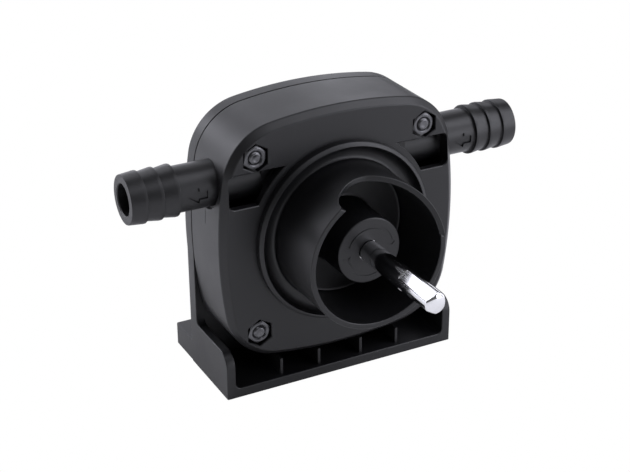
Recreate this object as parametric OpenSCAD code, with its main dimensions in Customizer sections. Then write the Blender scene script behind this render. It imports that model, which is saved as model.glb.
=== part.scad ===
// Drill-driven self-priming transfer pump on a bench foot.
// Millimetres. X right, Y from front to back, Z up. The origin is the centre
// of the foot's flat underside; the shaft runs along Y.

/* [Casing] */
// Height of the shaft axis above the bench
shaft_h = 58.9; // [58:0.1:66]
// Shaft axis to the top and to the bottom of the front housing
casing_half = 48.3; // [46:0.1:49.5]
// Radius of the housing's corners, seen from the front
corner_r = 22.5; // [18:0.5:26]
// Radius of the slow bulge along each side
side_bulge_r = 170; // [140:5:400]
// Depth of the front housing, from its face to the parting line
housing_depth = 26.8; // [26:0.1:32]
// Depth of the rear cover's plate
cover_depth = 6; // [5.4:0.1:9]
// Parting line behind the middle of the foot
parting_y = 3.4; // [1:0.1:6]
// Bevel round the housing's face
face_bevel = 2.4; // [1:0.1:2.6]
// Wall of the housing and of the cover
wall = 3; // [2.4:0.1:3.4]
// Width of the shadow groove at the parting line
parting_gap = 0.5; // [0.2:0.1:1]
// Thickness of the stiffening ribs
rib_t = 1.6; // [1.2:0.1:2.4]

/* [Foot] */
// Width of the foot, which carries the casing's sides along
foot_w = 96; // [94:0.5:98]
// Step from the foot's sides out to the casing's sides
foot_step = 0.3; // [0.1:0.1:1]
// Depth of the foot, front to back
foot_d = 48; // [46:0.5:70]
// Thickness of the foot's floor
floor_t = 3.7; // [3:0.1:4.5]
// Thickness of the two side cheeks
cheek_t = 3.5; // [2.5:0.1:5]
// Height of the side cheeks
cheek_h = 18.4; // [14:0.1:26]
// Rounding of the cheeks' front top corner
cheek_round = 6; // [3:0.5:9]
// Height of the flange behind the cover
flange_h = 9.3; // [7:0.1:14]
// Thickness of the low ribs on the floor
floor_rib_t = 1.2; // [0.8:0.1:2]
// Spacing of the low ribs, outer pair to inner pair
floor_rib_pitch = 15.8; // [13:0.1:17]
// Diameter of the two screw holes in the flange
foot_hole_d = 5.2; // [4:0.1:6]
// Distance between the two screw holes
foot_hole_spacing = 60; // [40:1:70]

/* [Guard collar and boss] */
// Inner radius of the guard collar round the shaft
collar_inner_r = 25.2; // [23.5:0.1:26]
// Wall of the guard collar
collar_t = 2.1; // [1.6:0.1:2.4]
// Length of the guard collar in front of the face
collar_len = 27.6; // [24:0.1:34]
// Depth of the finger gap cut in the collar's rim
gap_depth = 11.4; // [10.5:0.1:14]
// Radius of the gap's rounded end
gap_round = 10; // [7:0.1:10.3]
// Outer radius of the raised ring round the collar
ring_r = 34.6; // [34:0.1:36]
// Height of the raised ring
ring_h = 1.6; // [0.8:0.1:2.4]
// Width of the raised ring's flat top
ring_land = 2.4; // [1.5:0.1:3]
// Depth of the trough between ring and collar
trough_depth = 2.2; // [1:0.1:2.8]
// Radius of the bearing hub inside the collar
hub_r = 12.6; // [12.4:0.1:14]
// Length of the bearing hub in front of the face
hub_len = 20.1; // [19.5:0.1:23]

/* [Hose stems] */
// Height of the stems above the shaft axis
stem_rise = 22.9; // [22.5:0.1:23]
// Distance of the stems' axis in front of the parting line
stem_set = 12.9; // [12:0.1:13.5]
// Outer radius of the plain stem
stem_r = 8.4; // [8:0.1:8.5]
// Radius of the water way
stem_bore_r = 5.8; // [5:0.1:6]
// Distance of each stem's end from the middle
stem_reach = 78.4; // [76:0.1:90]
// Radius over the barbs
barb_r = 9.5; // [9.2:0.1:10.5]
// Number of barbs on each stem
barbs = 3; // [2:1:4]
// Pitch of the barbs
barb_pitch = 6.05; // [5:0.05:6.5]
// Width of each barb's flat crest
barb_land = 1; // [0.6:0.1:1.6]
// Length of the flow arrows
arrow_len = 7.2; // [6:0.1:9]
// Width across the arrows' heads
arrow_w = 5.8; // [4:0.1:7]
// Width of the arrows' tails
arrow_tail_w = 2.7; // [2:0.1:3.6]
// Height of the raised flow arrows
arrow_h = 0.4; // [0.2:0.1:0.6]

/* [Pump chamber] */
// Radius of the pump chamber
chamber_r = 27.5; // [27:0.1:28]
// Axial width of the impeller
impeller_w = 16.4; // [15:0.1:17]
// Height of the cam between the two ports
cam_h = 4; // [2:0.1:5]
// Number of impeller vanes
vanes = 8; // [6:1:10]
// Thickness of a vane
vane_t = 2.2; // [1.6:0.1:3]
// Radius of the impeller's rubber hub
impeller_hub_r = 11.5; // [10:0.1:13]
// Thickness of the wear plate
wear_plate_t = 1; // [0.6:0.1:1.2]

/* [Shaft and bearing] */
// Diameter of the shank that a drill's chuck holds
shank_d = 8; // [7:0.1:8.4]
// Diameter of the shaft inside the pump
shaft_d = 10; // [9.6:0.1:10.4]
// Length of the shank in front of the housing's face
shaft_out = 65.7; // [58:0.1:80]
// Length of the three drive flats
flat_len = 19.5; // [12:0.5:26]
// Depth of the drive flats
flat_depth = 0.63; // [0.3:0.01:0.9]
// Outside diameter of the ball bearing and of the shaft seal
bearing_od = 22; // [21.5:0.1:22.4]
// Width of the ball bearing
bearing_w = 6; // [5.6:0.1:7]
// Number of balls
balls = 9; // [7:1:10]
// Ball radius
ball_r = 1.6; // [1.4:0.01:1.7]
// Width of the shaft seal
seal_w = 7; // [6:0.1:8]
// Thickness of the two shaft circlips
circlip_t = 0.8; // [0.6:0.1:1]

/* [Fasteners] */
// Bolts left and right of the shaft axis
bolt_x = 34; // [33.8:0.1:34.6]
// Bolts above and below the shaft axis
bolt_z = 34.5; // [34.3:0.1:35]
// Thread diameter of the casing bolts
bolt_d = 5; // [4:0.1:5.2]
// Width of the nuts across their flats
nut_af = 8; // [7:0.1:8.4]
// Width of the nut pockets across their flats
nut_pocket_af = 9.4; // [8.8:0.1:9.8]
// Thickness of the nuts
nut_t = 4; // [3:0.1:4.6]

/* [Fits] */
// Radial clearance of a running fit
run_gap = 0.05; // [0.03:0.01:0.08]
// Radial clearance of a bolt in its hole
bolt_gap = 0.15; // [0.1:0.01:0.3]
// Radial gap round each stem where it leaves the housing's side
stem_hole_gap = 0.9; // [0.5:0.1:1.2]
// Clearance between the impeller and what it turns past
impeller_gap = 0.3; // [0.2:0.05:0.5]

/* [Hidden] */
$fn = 96;
e = 0.01;
// Overshoot of a cut past the face that it opens
past = 1;
// Bodies held tight against each other stay this far apart
press_gap = 0.02;

// Planes along the shaft, front to back
face_y = parting_y - housing_depth;
tip_y = face_y - shaft_out;
collar_y = face_y - collar_len;
hub_y = face_y - hub_len;
floor_drop = 1.4;
floor_y = face_y + floor_drop;
back_y = parting_y + cover_depth;
stem_y = parting_y - stem_set;
stem_z = shaft_h + stem_rise;

// Chamber, closed in front by the housing and behind by the wear plate
spigot_len = 4;
spigot_y = parting_y - spigot_len;
plate_y = spigot_y - wear_plate_t;
chamber_y = plate_y - impeller_w - 2 * impeller_gap;
plate_seat = 2.5;
spigot_r = chamber_r + plate_seat;
chamber_wall_r = spigot_r + wall;

// Corner centres and tangent points of the rounded, bulged outline
casing_x = foot_w / 2 + foot_step;
bulge_x = side_bulge_r - casing_x;
bulge_z = side_bulge_r - casing_half;
bulge_k = sqrt(pow((side_bulge_r - corner_r) / norm([bulge_x, bulge_z]), 2) - 1 / 4);
corner_x = bulge_z * bulge_k - bulge_x / 2;
corner_z = bulge_x * bulge_k - bulge_z / 2;
side_tangent = atan2(corner_z, bulge_x + corner_x);
top_tangent = atan2(corner_x, bulge_z + corner_z);

// Inside the housing
lip_inset = 0.8;
rib_end_y = parting_y - 1.2;
boss_wall = 1.9;
boss_r = nut_pocket_af / sqrt(3) + boss_wall;

// Windows in the face, measured from the shaft axis
window_side = 3.7;
window_drop = 6.3;
window_x = casing_x - window_side;
window_z = stem_rise - window_drop;
window_h = 12.9;
window_round = 2.4;
window_ring_gap = 2.6;
window_depth = wall + 2.6;

// The gap in the collar's rim, across the direction it faces
gap_turn = 25;
gap_x = -13;
gap_ramp_x = 23.4;
gap_ramp_lap = 0.15;
gap_floor = hub_r + 1.2;
gap_centre_y = collar_y + gap_depth - gap_round;

// Bearing stack inside the hub
bearing_r = bearing_od / 2;
shank_r = shank_d / 2;
shaft_r = shaft_d / 2;
hub_face_t = 3;
bearing_y = hub_y + hub_face_t;
bearing_mid_y = bearing_y + bearing_w / 2;
retainer_y = bearing_y + bearing_w;
retainer_t = 1;
retainer_lip = 0.6;
seal_y = chamber_y - seal_w;
seal_case_t = 1;
seal_lip_w = 2.5;
seal_edge_set = 2;
seal_edge_y = chamber_y - seal_edge_set;
seal_spring_t = 1.2;
seal_spring_set = 2.28;
circlip_w = 1.9;
circlip_r = shaft_r + circlip_w;
circlip_grip = 0.4;
ring_wall = 2;
inner_ring_r = shaft_r + ring_wall;
outer_ring_r = bearing_r - ring_wall;
pitch_r = (shaft_r + bearing_r) / 2;
race_gap = 0.08;
shield_t = 0.28;
shield_set = 0.3;
cage_t = 1.2;
cage_set = 0.8;
shaft_hole_gap = 0.6;

// Bush behind the wear plate
bush_wall = 1.8;
bush_r = shaft_r + bush_wall;
bush_y = spigot_y;
bush_end_y = back_y - wall - 0.1;
shaft_end_y = bush_end_y - 0.5;

// Groove and ring that seal the cover's spigot
casing_seal_w = 1.7;
groove_set = 0.9;
groove_w = 2.3;
groove_y1 = parting_y - groove_set;
groove_y0 = groove_y1 - groove_w;

// Back of the cover, and the flange behind it
cover_edge = 0.8;
cover_hub_r = 15;
spigot_wall = 3.5;
flange_d = foot_d / 2 - back_y;
flange_wall = 2;
flange_cross_wall = 4.8;
flange_side_wall = 5.4;

// Stems: where they seat in the housing and where they are clipped
socket_x = 24;
socket_end_x = 29.5;
socket_wall = 2;
port_x = socket_x - 5;
stem_guide_gap = 0.25;
stem_guide_depth = 8;
stem_guide_x = casing_x - stem_guide_depth;
seal_x = 25.4;
seal_len = 2.4;
seal_groove = 1.3;
clip_share = 0.3916;
clip_x = bolt_x + clip_share * (casing_x - bolt_x);
clip_t = 1.5;
clip_depth = 1;
clip_gap = 0.1;
clip_half = stem_r + 2.6;
clip_wall_t = 1.6;
barb_x = stem_reach - 5.4;
arrow_clear = 5.6;
arrow_x = casing_x + arrow_clear;
arrow_shift = 1;
arrow_head = 0.53 * arrow_len;
arrow_turn = 83;

// Fasteners
nut_sink = 0.6;
pocket_t = nut_t + nut_sink;
bolt_sink = 0.3;
bolt_head_r = 4.7;
bolt_head_t = 3;
washer_r = 5;
washer_t = 1;
seat_y = back_y - bolt_head_t - washer_t + 0.5;

// Rotor
circlip_front_y = bearing_y - circlip_t;
circlip_groove_r = shaft_r - circlip_grip;
shoulder_t = 0.8;
shoulder_y = circlip_front_y - shoulder_t;
neck_y = hub_y - 0.6;
undercut = 0.25;
pin_r = 1.5;
pin_y = (chamber_y + plate_y) / 2;
sleeve_wall = 3.6;
sleeve_r = shaft_r + sleeve_wall;
rotor_y0 = chamber_y + impeller_gap;
rotor_y1 = plate_y - impeller_gap;

mould_black = "#26262a";
bright_steel = "#c9ccd0";
dark_steel = "#5c5f63";
bronze = "#b08d57";
rubber_black = "#1b1b1c";

// ---------- shared forms ----------

// A flat shape seen from the front, thickened from y0 back to y1
module slab(y0, y1) {
    translate([0, y1, 0]) rotate([90, 0, 0]) linear_extrude(y1 - y0) children();
}

// A profile of [radius, y] points turned about the shaft axis
module turned(points) {
    translate([0, 0, shaft_h]) rotate([-90, 0, 0]) rotate_extrude() polygon(points);
}

// A straight ring or, with no inner radius, a disc on the shaft axis
module washer(r_in, r_out, y0, y1) {
    turned([[r_in, y0], [r_out, y0], [r_out, y1], [r_in, y1]]);
}

// Children drawn along +Z are laid along the stem on one side
module on_stem(side) {
    translate([0, stem_y, stem_z]) rotate([0, 90 * side, 0]) children();
}

// A tube on a stem's axis from x0 out to x1
module stem_tube(side, x0, x1, r_out, r_in = 0) {
    on_stem(side) translate([0, 0, x0]) difference() {
        cylinder(h = x1 - x0, r = r_out);
        if (r_in > 0) translate([0, 0, -past]) cylinder(h = x1 - x0 + 2 * past, r = r_in);
    }
}

module at_bolts() {
    for (sx = [-1, 1], sz = [-1, 1])
        translate([sx * bolt_x, 0, shaft_h + sz * bolt_z]) children();
}

// A rod along Y from y0 to y1 at the children's place
module rod_y(r, y0, y1, sides = 96) {
    translate([0, y0, 0]) rotate([-90, 0, 0]) cylinder(h = y1 - y0, r = r, $fn = sides);
}

// The star between the four corner centres that keeps the side arcs to their stretch
module outline_star() {
    reach = 1.3 * corner_r;
    function corner(sx, sz, ax) = [sx * (corner_x + reach * cos(ax)), sz * (corner_z + reach * sin(ax))];
    polygon([
        [corner_x, -corner_z], corner(1, -1, side_tangent), corner(1, 1, side_tangent),
        [corner_x, corner_z], corner(1, 1, 90 - top_tangent), corner(-1, 1, 90 - top_tangent),
        [-corner_x, corner_z], corner(-1, 1, side_tangent), corner(-1, -1, side_tangent),
        [-corner_x, -corner_z], corner(-1, -1, 90 - top_tangent), corner(1, -1, 90 - top_tangent)
    ]);
}

// One side's bulge as part of a very wide disc: 0 right, 90 bottom, 180 left, 270 top
module side_disc(turn, h, i0, i1) {
    centre = turn % 180 == 0 ? bulge_x : bulge_z;
    rotate([0, 0, turn]) translate([-centre, 0, 0])
        cylinder(h = h, r1 = side_bulge_r - i0, r2 = side_bulge_r - i1, $fn = 720);
}

// The housing's outline as a block from y0 to y1, inset by i0 in front and i1 behind
module outline_block(y0, y1, i0 = 0, i1 = 0) {
    h = y1 - y0;
    translate([0, y0, shaft_h]) rotate([-90, 0, 0]) union() {
        for (sx = [-1, 1], sz = [-1, 1])
            translate([sx * corner_x, sz * corner_z, 0])
                cylinder(h = h, r1 = corner_r - i0, r2 = corner_r - i1);
        intersection() {
            linear_extrude(h) outline_star();
            side_disc(0, h, i0, i1);
            side_disc(90, h, i0, i1);
            side_disc(180, h, i0, i1);
            side_disc(270, h, i0, i1);
        }
    }
}

// ---------- front housing ----------

module housing_shell() {
    difference() {
        union() {
            outline_block(face_y, face_y + face_bevel, face_bevel, 0);
            outline_block(face_y + face_bevel, parting_y - parting_gap);
            outline_block(parting_y - parting_gap, parting_y, lip_inset, lip_inset);
        }
        outline_block(face_y + wall, parting_y + past, wall, wall);
    }
}

// Stiffening ribs out from the chamber's wall: four square ones and four to the corners
module housing_ribs() {
    start = chamber_r + 1;
    depth = rib_end_y - face_y - wall;
    intersection() {
        outline_block(face_y + wall - e, rib_end_y, 1, 1);
        for (k = [0:5])
            translate([0, 0, shaft_h]) rotate([0, k < 4 ? k * 90 : k * 90 - 315, 0])
                translate([start, face_y + wall - e, -rib_t / 2])
                    cube([k < 4 ? casing_half : corner_x, depth, rib_t]);
    }
}

// Raised ring, trough, collar and hub, all turned about the shaft axis
module housing_front() {
    collar_r = collar_inner_r + collar_t;
    trough_r = collar_r + 0.5;
    land_r = ring_r - ring_land;
    edge = 0.3;
    top_y = face_y - ring_h;
    floor_of_trough = top_y + trough_depth;
    turned([
        [outer_ring_r, face_y + wall], [ring_r, face_y + wall], [ring_r, top_y + edge], [ring_r - edge, top_y],
        [land_r, top_y], [land_r - 0.6, floor_of_trough - 0.6],
        [land_r - 1.4, floor_of_trough], [trough_r + 0.9, floor_of_trough],
        [trough_r + 0.2, floor_of_trough - 0.7], [trough_r, top_y],
        [collar_r, top_y + 0.2], [collar_r, collar_y + edge],
        [collar_r - edge, collar_y], [collar_inner_r + edge, collar_y],
        [collar_inner_r, collar_y + edge], [collar_inner_r, floor_y], [hub_r, floor_y],
        [hub_r, hub_y + 2 * edge], [hub_r - 2 * edge, hub_y], [shank_r + shaft_hole_gap, hub_y],
        [shank_r + shaft_hole_gap, hub_y + 1], [outer_ring_r, hub_y + 1]
    ]);
}

// The gap in the collar's rim faces a little right of straight up
module at_gap() {
    translate([0, 0, shaft_h]) rotate([0, gap_turn, 0]) translate([0, 0, gap_floor]) children();
}

// The gap's rounded end on the left
module gap_end() {
    at_gap() translate([gap_x, gap_centre_y, 0]) cylinder(h = collar_inner_r, r = gap_round);
}

// The gap's long ramp to the right, which leaves its rounded end a little inside the tangent
module gap_ramp() {
    span = norm([gap_ramp_x - gap_x, gap_depth - gap_round]);
    foot_r = gap_round - gap_ramp_lap;
    tilt = asin((gap_depth - gap_round) / span) + asin(foot_r / span);
    flare = 0.6;
    at_gap() linear_extrude(collar_inner_r) polygon([
        [gap_x - gap_round, gap_centre_y], [gap_x - gap_round - flare, collar_y - past],
        [gap_ramp_x + past, collar_y - past], [gap_ramp_x, collar_y],
        [gap_x + foot_r * sin(tilt), gap_centre_y + foot_r * cos(tilt)], [gap_x, gap_centre_y]
    ]);
}

// Opening in the face that shows the stem behind it, cut off round by the raised ring
module face_window(side) {
    start = ring_r / 2;
    round_x = window_x - window_round;
    slab(face_y - past, face_y + window_depth) translate([0, shaft_h]) scale([side, 1]) difference() {
        union() {
            translate([start, window_z]) square([round_x - start, window_h]);
            translate([round_x - window_round, window_z + window_round])
                square([2 * window_round, window_h - 2 * window_round]);
            for (z = [window_z + window_round, window_z + window_h - window_round])
                translate([round_x, z]) circle(r = window_round);
        }
        circle(r = ring_r + window_ring_gap);
    }
}

module nut_pocket() {
    rotate([0, 30, 0]) rod_y(nut_pocket_af / sqrt(3), face_y - past, face_y + pocket_t, 6);
}

// The water way's last stretch, from the stem's end into the chamber
module port(side) {
    stem_tube(side, port_x, socket_x + past, stem_bore_r);
}

// The clip's slot is open towards the cover
module clip_slot(side) {
    half = clip_half + 0.6;
    translate([side * (clip_x + clip_t / 2), stem_y - 1, stem_z])
        translate([-clip_t / 2 - clip_gap, 0, -half])
            cube([clip_t + 2 * clip_gap, stem_set + 2, 2 * half]);
}

// Two low walls that hold each stem's clip
module clip_wall(side) {
    half = clip_half + 1.9;
    intersection() {
        outline_block(face_y + wall - e, rib_end_y, 1, 1);
        translate([side * (clip_x + clip_t / 2), stem_y + 2, stem_z])
            translate([-clip_t / 2 - clip_wall_t, 0, -half])
                cube([clip_t + 2 * clip_wall_t, rib_end_y - stem_y - 2, 2 * half]);
    }
}

// Everything the housing is made of, before its bores and pockets
module housing_body() {
    difference() {
        union() {
            housing_shell();
            housing_ribs();
            washer(chamber_r - 1, chamber_wall_r, face_y + wall - e, parting_y);
            washer(outer_ring_r, chamber_r, face_y + wall - e, chamber_y);
            at_bolts() rod_y(boss_r, face_y + wall - e, parting_y);
            for (side = [-1, 1]) {
                stem_tube(side, port_x - 1, socket_end_x, stem_r + socket_wall);
                clip_wall(side);
            }
        }
        for (side = [-1, 1]) {
            stem_tube(side, socket_end_x - e, stem_reach, stem_r + stem_guide_gap);
            stem_tube(side, stem_guide_x, stem_reach, stem_r + stem_hole_gap);
            face_window(side);
        }
    }
    housing_front();
}

// Bore for the shaft, the bearing, its circlips and the seal
module hub_bore() {
    washer(0, bearing_r, bearing_y, chamber_y + past);
    washer(0, shank_r + shaft_hole_gap, hub_y - past, bearing_y + past);
    washer(0, circlip_r + 0.6, shoulder_y - 0.3, bearing_y + past);
    washer(bearing_r - 1, bearing_r + retainer_lip, retainer_y, retainer_y + retainer_t + 0.1);
}

module front_housing() {
    color(mould_black) difference() {
        difference() {
            housing_body();
            hub_bore();
            difference() {
                washer(0, chamber_r, chamber_y, parting_y + past);
                cam();
            }
            washer(0, spigot_r, plate_y, parting_y + past);
            for (side = [-1, 1]) {
                stem_tube(side, socket_x, stem_reach, stem_r + run_gap);
                port(side);
                clip_slot(side);
            }
            at_bolts() {
                rod_y(bolt_d / 2 + bolt_gap, face_y - past, parting_y + past);
                nut_pocket();
            }
            gap_end();
        }
        gap_ramp();
    }
}

// The cam fills the top of the chamber between the ports
module cam() {
    cam_r = chamber_r * 1.5;
    intersection() {
        washer(0, chamber_r + past, chamber_y - past, plate_y);
        difference() {
            translate([-chamber_r, chamber_y - past, shaft_h + chamber_r * 0.6])
                cube([2 * chamber_r, plate_y - chamber_y + past, chamber_r]);
            translate([0, 0, shaft_h + chamber_r - cam_h - cam_r])
                rod_y(cam_r, chamber_y - 2 * past, plate_y + past);
            for (side = [-1, 1]) port(side);
        }
    }
}

// ---------- rear cover and foot ----------

// Top follows the housing; from the shaft's height the sides drop straight to the bench
module cover_block(y0, y1, inset = 0) {
    outline_block(y0, y1, inset, inset);
    translate([inset - foot_w / 2, y0, floor_t])
        cube([foot_w - 2 * inset, y1 - y0, shaft_h - floor_t]);
}

module foot_floor() {
    round_r = 2;
    linear_extrude(floor_t) union() {
        square([foot_w - 2 * round_r, foot_d], center = true);
        square([foot_w, foot_d - 2 * round_r], center = true);
        for (sx = [-1, 1], sy = [-1, 1])
            translate([sx * (foot_w / 2 - round_r), sy * (foot_d / 2 - round_r)]) circle(r = round_r);
    }
}

// Side cheek, seen from the side: square at the cover and round at the front
module cheek(side) {
    fillet = 2.5;
    front = -foot_d / 2;
    translate([side * foot_w / 2 - (side > 0 ? cheek_t : 0), 0, 0])
        rotate([90, 0, 90]) linear_extrude(cheek_t) union() {
            translate([front, 0]) square([parting_y - front + e, cheek_h - cheek_round]);
            translate([front + cheek_round, 0]) square([parting_y - front - cheek_round + e, cheek_h]);
            intersection() {
                translate([front, 0]) square([cheek_round + e, cheek_h]);
                translate([front + cheek_round, cheek_h - cheek_round]) circle(r = cheek_round);
            }
            difference() {
                translate([parting_y - fillet, cheek_h - e]) square([fillet + e, fillet]);
                translate([parting_y - fillet, cheek_h + fillet]) circle(r = fillet);
            }
        }
}

// Flange behind the cover, before its hollows are cut
module flange() {
    translate([-foot_w / 2, back_y - e, 0]) cube([foot_w, flange_d + e, flange_h]);
}

// Hollows in the cover's back leave a hub, four bosses and a star of ribs
module cover_back_pockets() {
    boss_wall_back = 2.2;
    difference() {
        intersection() {
            cover_block(parting_y + wall, back_y + past, wall);
            translate([-foot_w, parting_y, flange_h + 2])
                cube([2 * foot_w, cover_depth + 2 * past, 2 * shaft_h]);
        }
        washer(0, cover_hub_r, parting_y, back_y + 2 * past);
        at_bolts() rod_y(washer_r + boss_wall_back, parting_y, back_y + 2 * past);
        for (a = [0:30:150])
            translate([0, 0, shaft_h]) rotate([0, a, 0])
                translate([-2 * casing_half, parting_y, -rib_t / 2])
                    cube([4 * casing_half, cover_depth + 2 * past, rib_t]);
    }
}

module rear_cover() {
    color(mould_black) difference() {
        union() {
            cover_block(parting_y, back_y - cover_edge);
            cover_block(back_y - cover_edge - e, back_y, 0.5);
            foot_floor();
            for (side = [-1, 1]) cheek(side);
            flange();
            floor_ribs();
            washer(0, spigot_r - run_gap, spigot_y, parting_y + e);
        }
        washer(0, bush_r, bush_y - past, bush_end_y);
        washer(spigot_r - casing_seal_w, spigot_r + past, groove_y0, groove_y1);
        washer(cover_hub_r, spigot_r - spigot_wall, spigot_y - past, parting_y + 1);
        cover_back_pockets();
        at_bolts() {
            rod_y(bolt_d / 2 + bolt_gap, parting_y - past, back_y + past);
            rod_y(washer_r + 0.3, seat_y, back_y + past);
        }
        foot_screws(foot_hole_d / 2);
        flange_underside();
    }
}

// A rod of this radius through the flange at each screw
module foot_screws(r) {
    for (sx = [-1, 1])
        translate([sx * foot_hole_spacing / 2, back_y + flange_d / 2, -past])
            cylinder(h = flange_h + 2 * past, r = r);
}

// Three hollows under the flange leave cross walls and a pillar round each screw
module flange_underside() {
    hollow_w = (foot_w - 2 * (flange_side_wall + flange_cross_wall)) / 3;
    for (k = [-1, 0, 1])
        difference() {
            translate([k * (hollow_w + flange_cross_wall) - hollow_w / 2, back_y + flange_wall, -past])
                cube([hollow_w, flange_d - wall - flange_wall, flange_h - wall + past]);
            foot_screws(foot_hole_d / 2 + flange_wall);
        }
}

// Four low ribs run back to the cover, just under the housing
module floor_ribs() {
    rib_top = shaft_h - casing_half - 0.3;
    front = 2 - foot_d / 2;
    for (sx = [-1, 1], k = [0.57, 1.57])
        translate([sx * k * floor_rib_pitch - floor_rib_t / 2, front, floor_t - e])
            cube([floor_rib_t, parting_y - front + e, rib_top - floor_t + e]);
}

// ---------- seals, plate, stems ----------

module casing_seal() {
    r0 = spigot_r - casing_seal_w + press_gap;
    r1 = spigot_r - 2 * press_gap;
    y0 = groove_y0 + 0.1;
    y1 = groove_y1 - 0.1;
    edge = 0.3;
    color(rubber_black) turned([
        [r0, y0 + edge], [r0 + edge, y0], [r1 - edge, y0], [r1, y0 + edge],
        [r1, y1 - edge], [r1 - edge, y1], [r0 + edge, y1], [r0, y1 - edge]
    ]);
}

module wear_plate() {
    color(bright_steel) washer(shaft_r + shaft_hole_gap, spigot_r - 0.1, plate_y, spigot_y);
}

// Barbed end, plain neck and the seal groove near the inner end
module stem(side) {
    root_r = stem_r + 0.1;
    edge = 0.3;
    back = barb_land / 2 + 0.5;
    crest = function(k) barb_x - k * barb_pitch;
    barb_points = [for (k = [0:barbs - 1]) each [
        [barb_r, crest(k) + barb_land / 2],
        [barb_r, crest(k) - barb_land / 2],
        [root_r, crest(k) - back],
        [k < barbs - 1 ? root_r + 0.1 : stem_r, crest(k) - back - 0.4]
    ]];
    difference() {
        on_stem(side) rotate_extrude() polygon(concat(
            [[stem_bore_r, stem_reach - edge], [stem_bore_r + edge, stem_reach], [root_r, stem_reach],
                [root_r + edge, stem_reach - edge]],
            barb_points,
            [[stem_r, seal_x + seal_len], [stem_r - seal_groove, seal_x + seal_len],
                [stem_r - seal_groove, seal_x], [stem_r, seal_x], [stem_r, socket_x + edge],
                [stem_r - edge, socket_x + 0.1], [stem_bore_r, socket_x + 0.1]]
        ));
        clip_shape(side, clip_gap, stem_r - clip_depth);
    }
    flow_arrow(side);
}

// Arrow standing on the stem's front; both arrows point to the left
module flow_arrow(side) {
    half = arrow_len / 2;
    middle = arrow_x - side * arrow_shift;
    root = 0.3;
    intersection() {
        stem_tube(side, middle - half - 1, middle + half + 1, stem_r + arrow_h, stem_r - root);
        translate([side * middle, stem_y, stem_z]) rotate([arrow_turn, 0, 0]) linear_extrude(2 * stem_r) polygon([
            [-half, 0], [arrow_head - half, arrow_w / 2], [arrow_head - half, arrow_tail_w / 2],
            [half, arrow_tail_w / 2], [half, -arrow_tail_w / 2],
            [arrow_head - half, -arrow_tail_w / 2], [arrow_head - half, -arrow_w / 2]
        ]);
    }
}

module outlet_stem() {
    color(mould_black) stem(-1);
}

module inlet_stem() {
    color(mould_black) stem(1);
}

module stem_seals() {
    r0 = stem_r - seal_groove + press_gap;
    r1 = stem_r + run_gap - press_gap / 2;
    x0 = seal_x + 0.1;
    x1 = seal_x + seal_len - 0.1;
    edge = 0.3;
    color(rubber_black) for (side = [-1, 1])
        on_stem(side) rotate_extrude() polygon([
            [r0, x0 + edge], [r0 + edge, x0], [r1 - edge, x0], [r1, x0 + edge],
            [r1, x1 - edge], [r1 - edge, x1], [r0 + edge, x1], [r0, x1 - edge]
        ]);
}

// A fork seen along the stem, open towards the front
module clip_shape(side, gap, inner_r) {
    half = clip_half + gap;
    translate([side * (clip_x + clip_t / 2), stem_y, stem_z]) rotate([0, 90, 0])
        translate([0, 0, -clip_t / 2 - gap]) linear_extrude(clip_t + 2 * gap) difference() {
            translate([-half, -gap]) square([2 * half, half]);
            circle(r = inner_r);
            translate([-inner_r, -2 * stem_r]) square([2 * inner_r, 2 * stem_r]);
        }
}

module stem_clips() {
    color(bright_steel) for (side = [-1, 1]) clip_shape(side, 0, stem_r - clip_depth + 0.05);
}

// ---------- fasteners ----------

// Ends just below the face; the round head behind the cover has a cross slot
module casing_bolts() {
    head_y = seat_y + washer_t;
    slot_w = 1;
    slot_len = 4.8;
    color(dark_steel) at_bolts() difference() {
        union() {
            rod_y(bolt_d / 2, face_y + bolt_sink, head_y + e);
            translate([0, head_y, 0]) rotate([-90, 0, 0]) rotate_extrude() polygon([
                [0, 0], [bolt_head_r, 0], [bolt_head_r, bolt_head_t / 2],
                [bolt_head_r - 1.2, bolt_head_t - 0.3], [0, bolt_head_t]
            ]);
        }
        for (a = [0, 90]) rotate([0, a, 0])
            translate([-slot_len / 2, head_y + 1.2, -slot_w / 2]) cube([slot_len, bolt_head_t, slot_w]);
    }
}

module casing_washers() {
    color(bright_steel) at_bolts() difference() {
        rod_y(washer_r, seat_y, seat_y + washer_t);
        rod_y(bolt_d / 2 + bolt_gap, seat_y - past, seat_y + washer_t + past);
    }
}

// Hexagon nut: prism trimmed by a cone at its outer face
module casing_nuts() {
    nut_r = nut_af / sqrt(3);
    nut_y = face_y + pocket_t - nut_t;
    cone_r = nut_af / 2 - 0.1;
    cone_slope = 1.7;
    nut_turn = 12;
    color(dark_steel) at_bolts() difference() {
        intersection() {
            rotate([0, nut_turn, 0]) rod_y(nut_r, nut_y, nut_y + nut_t, 6);
            translate([0, nut_y, 0]) rotate([-90, 0, 0])
                cylinder(h = nut_t + e, r1 = cone_r, r2 = cone_r + cone_slope * nut_t);
        }
        rod_y(bolt_d / 2 + press_gap, nut_y - past, nut_y + nut_t + past);
    }
}

// ---------- shaft seal, bearing, bush ----------

// Steel cup, open towards the chamber
module shaft_seal_case() {
    hole_r = shaft_r + seal_lip_w;
    inside_r = bearing_r - seal_case_t;
    color(dark_steel) turned([
        [bearing_r - press_gap, seal_y], [bearing_r - press_gap, chamber_y], [inside_r, chamber_y],
        [inside_r, seal_y + seal_case_t], [hole_r, seal_y + seal_case_t], [hole_r, seal_y]
    ]);
}

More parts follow.
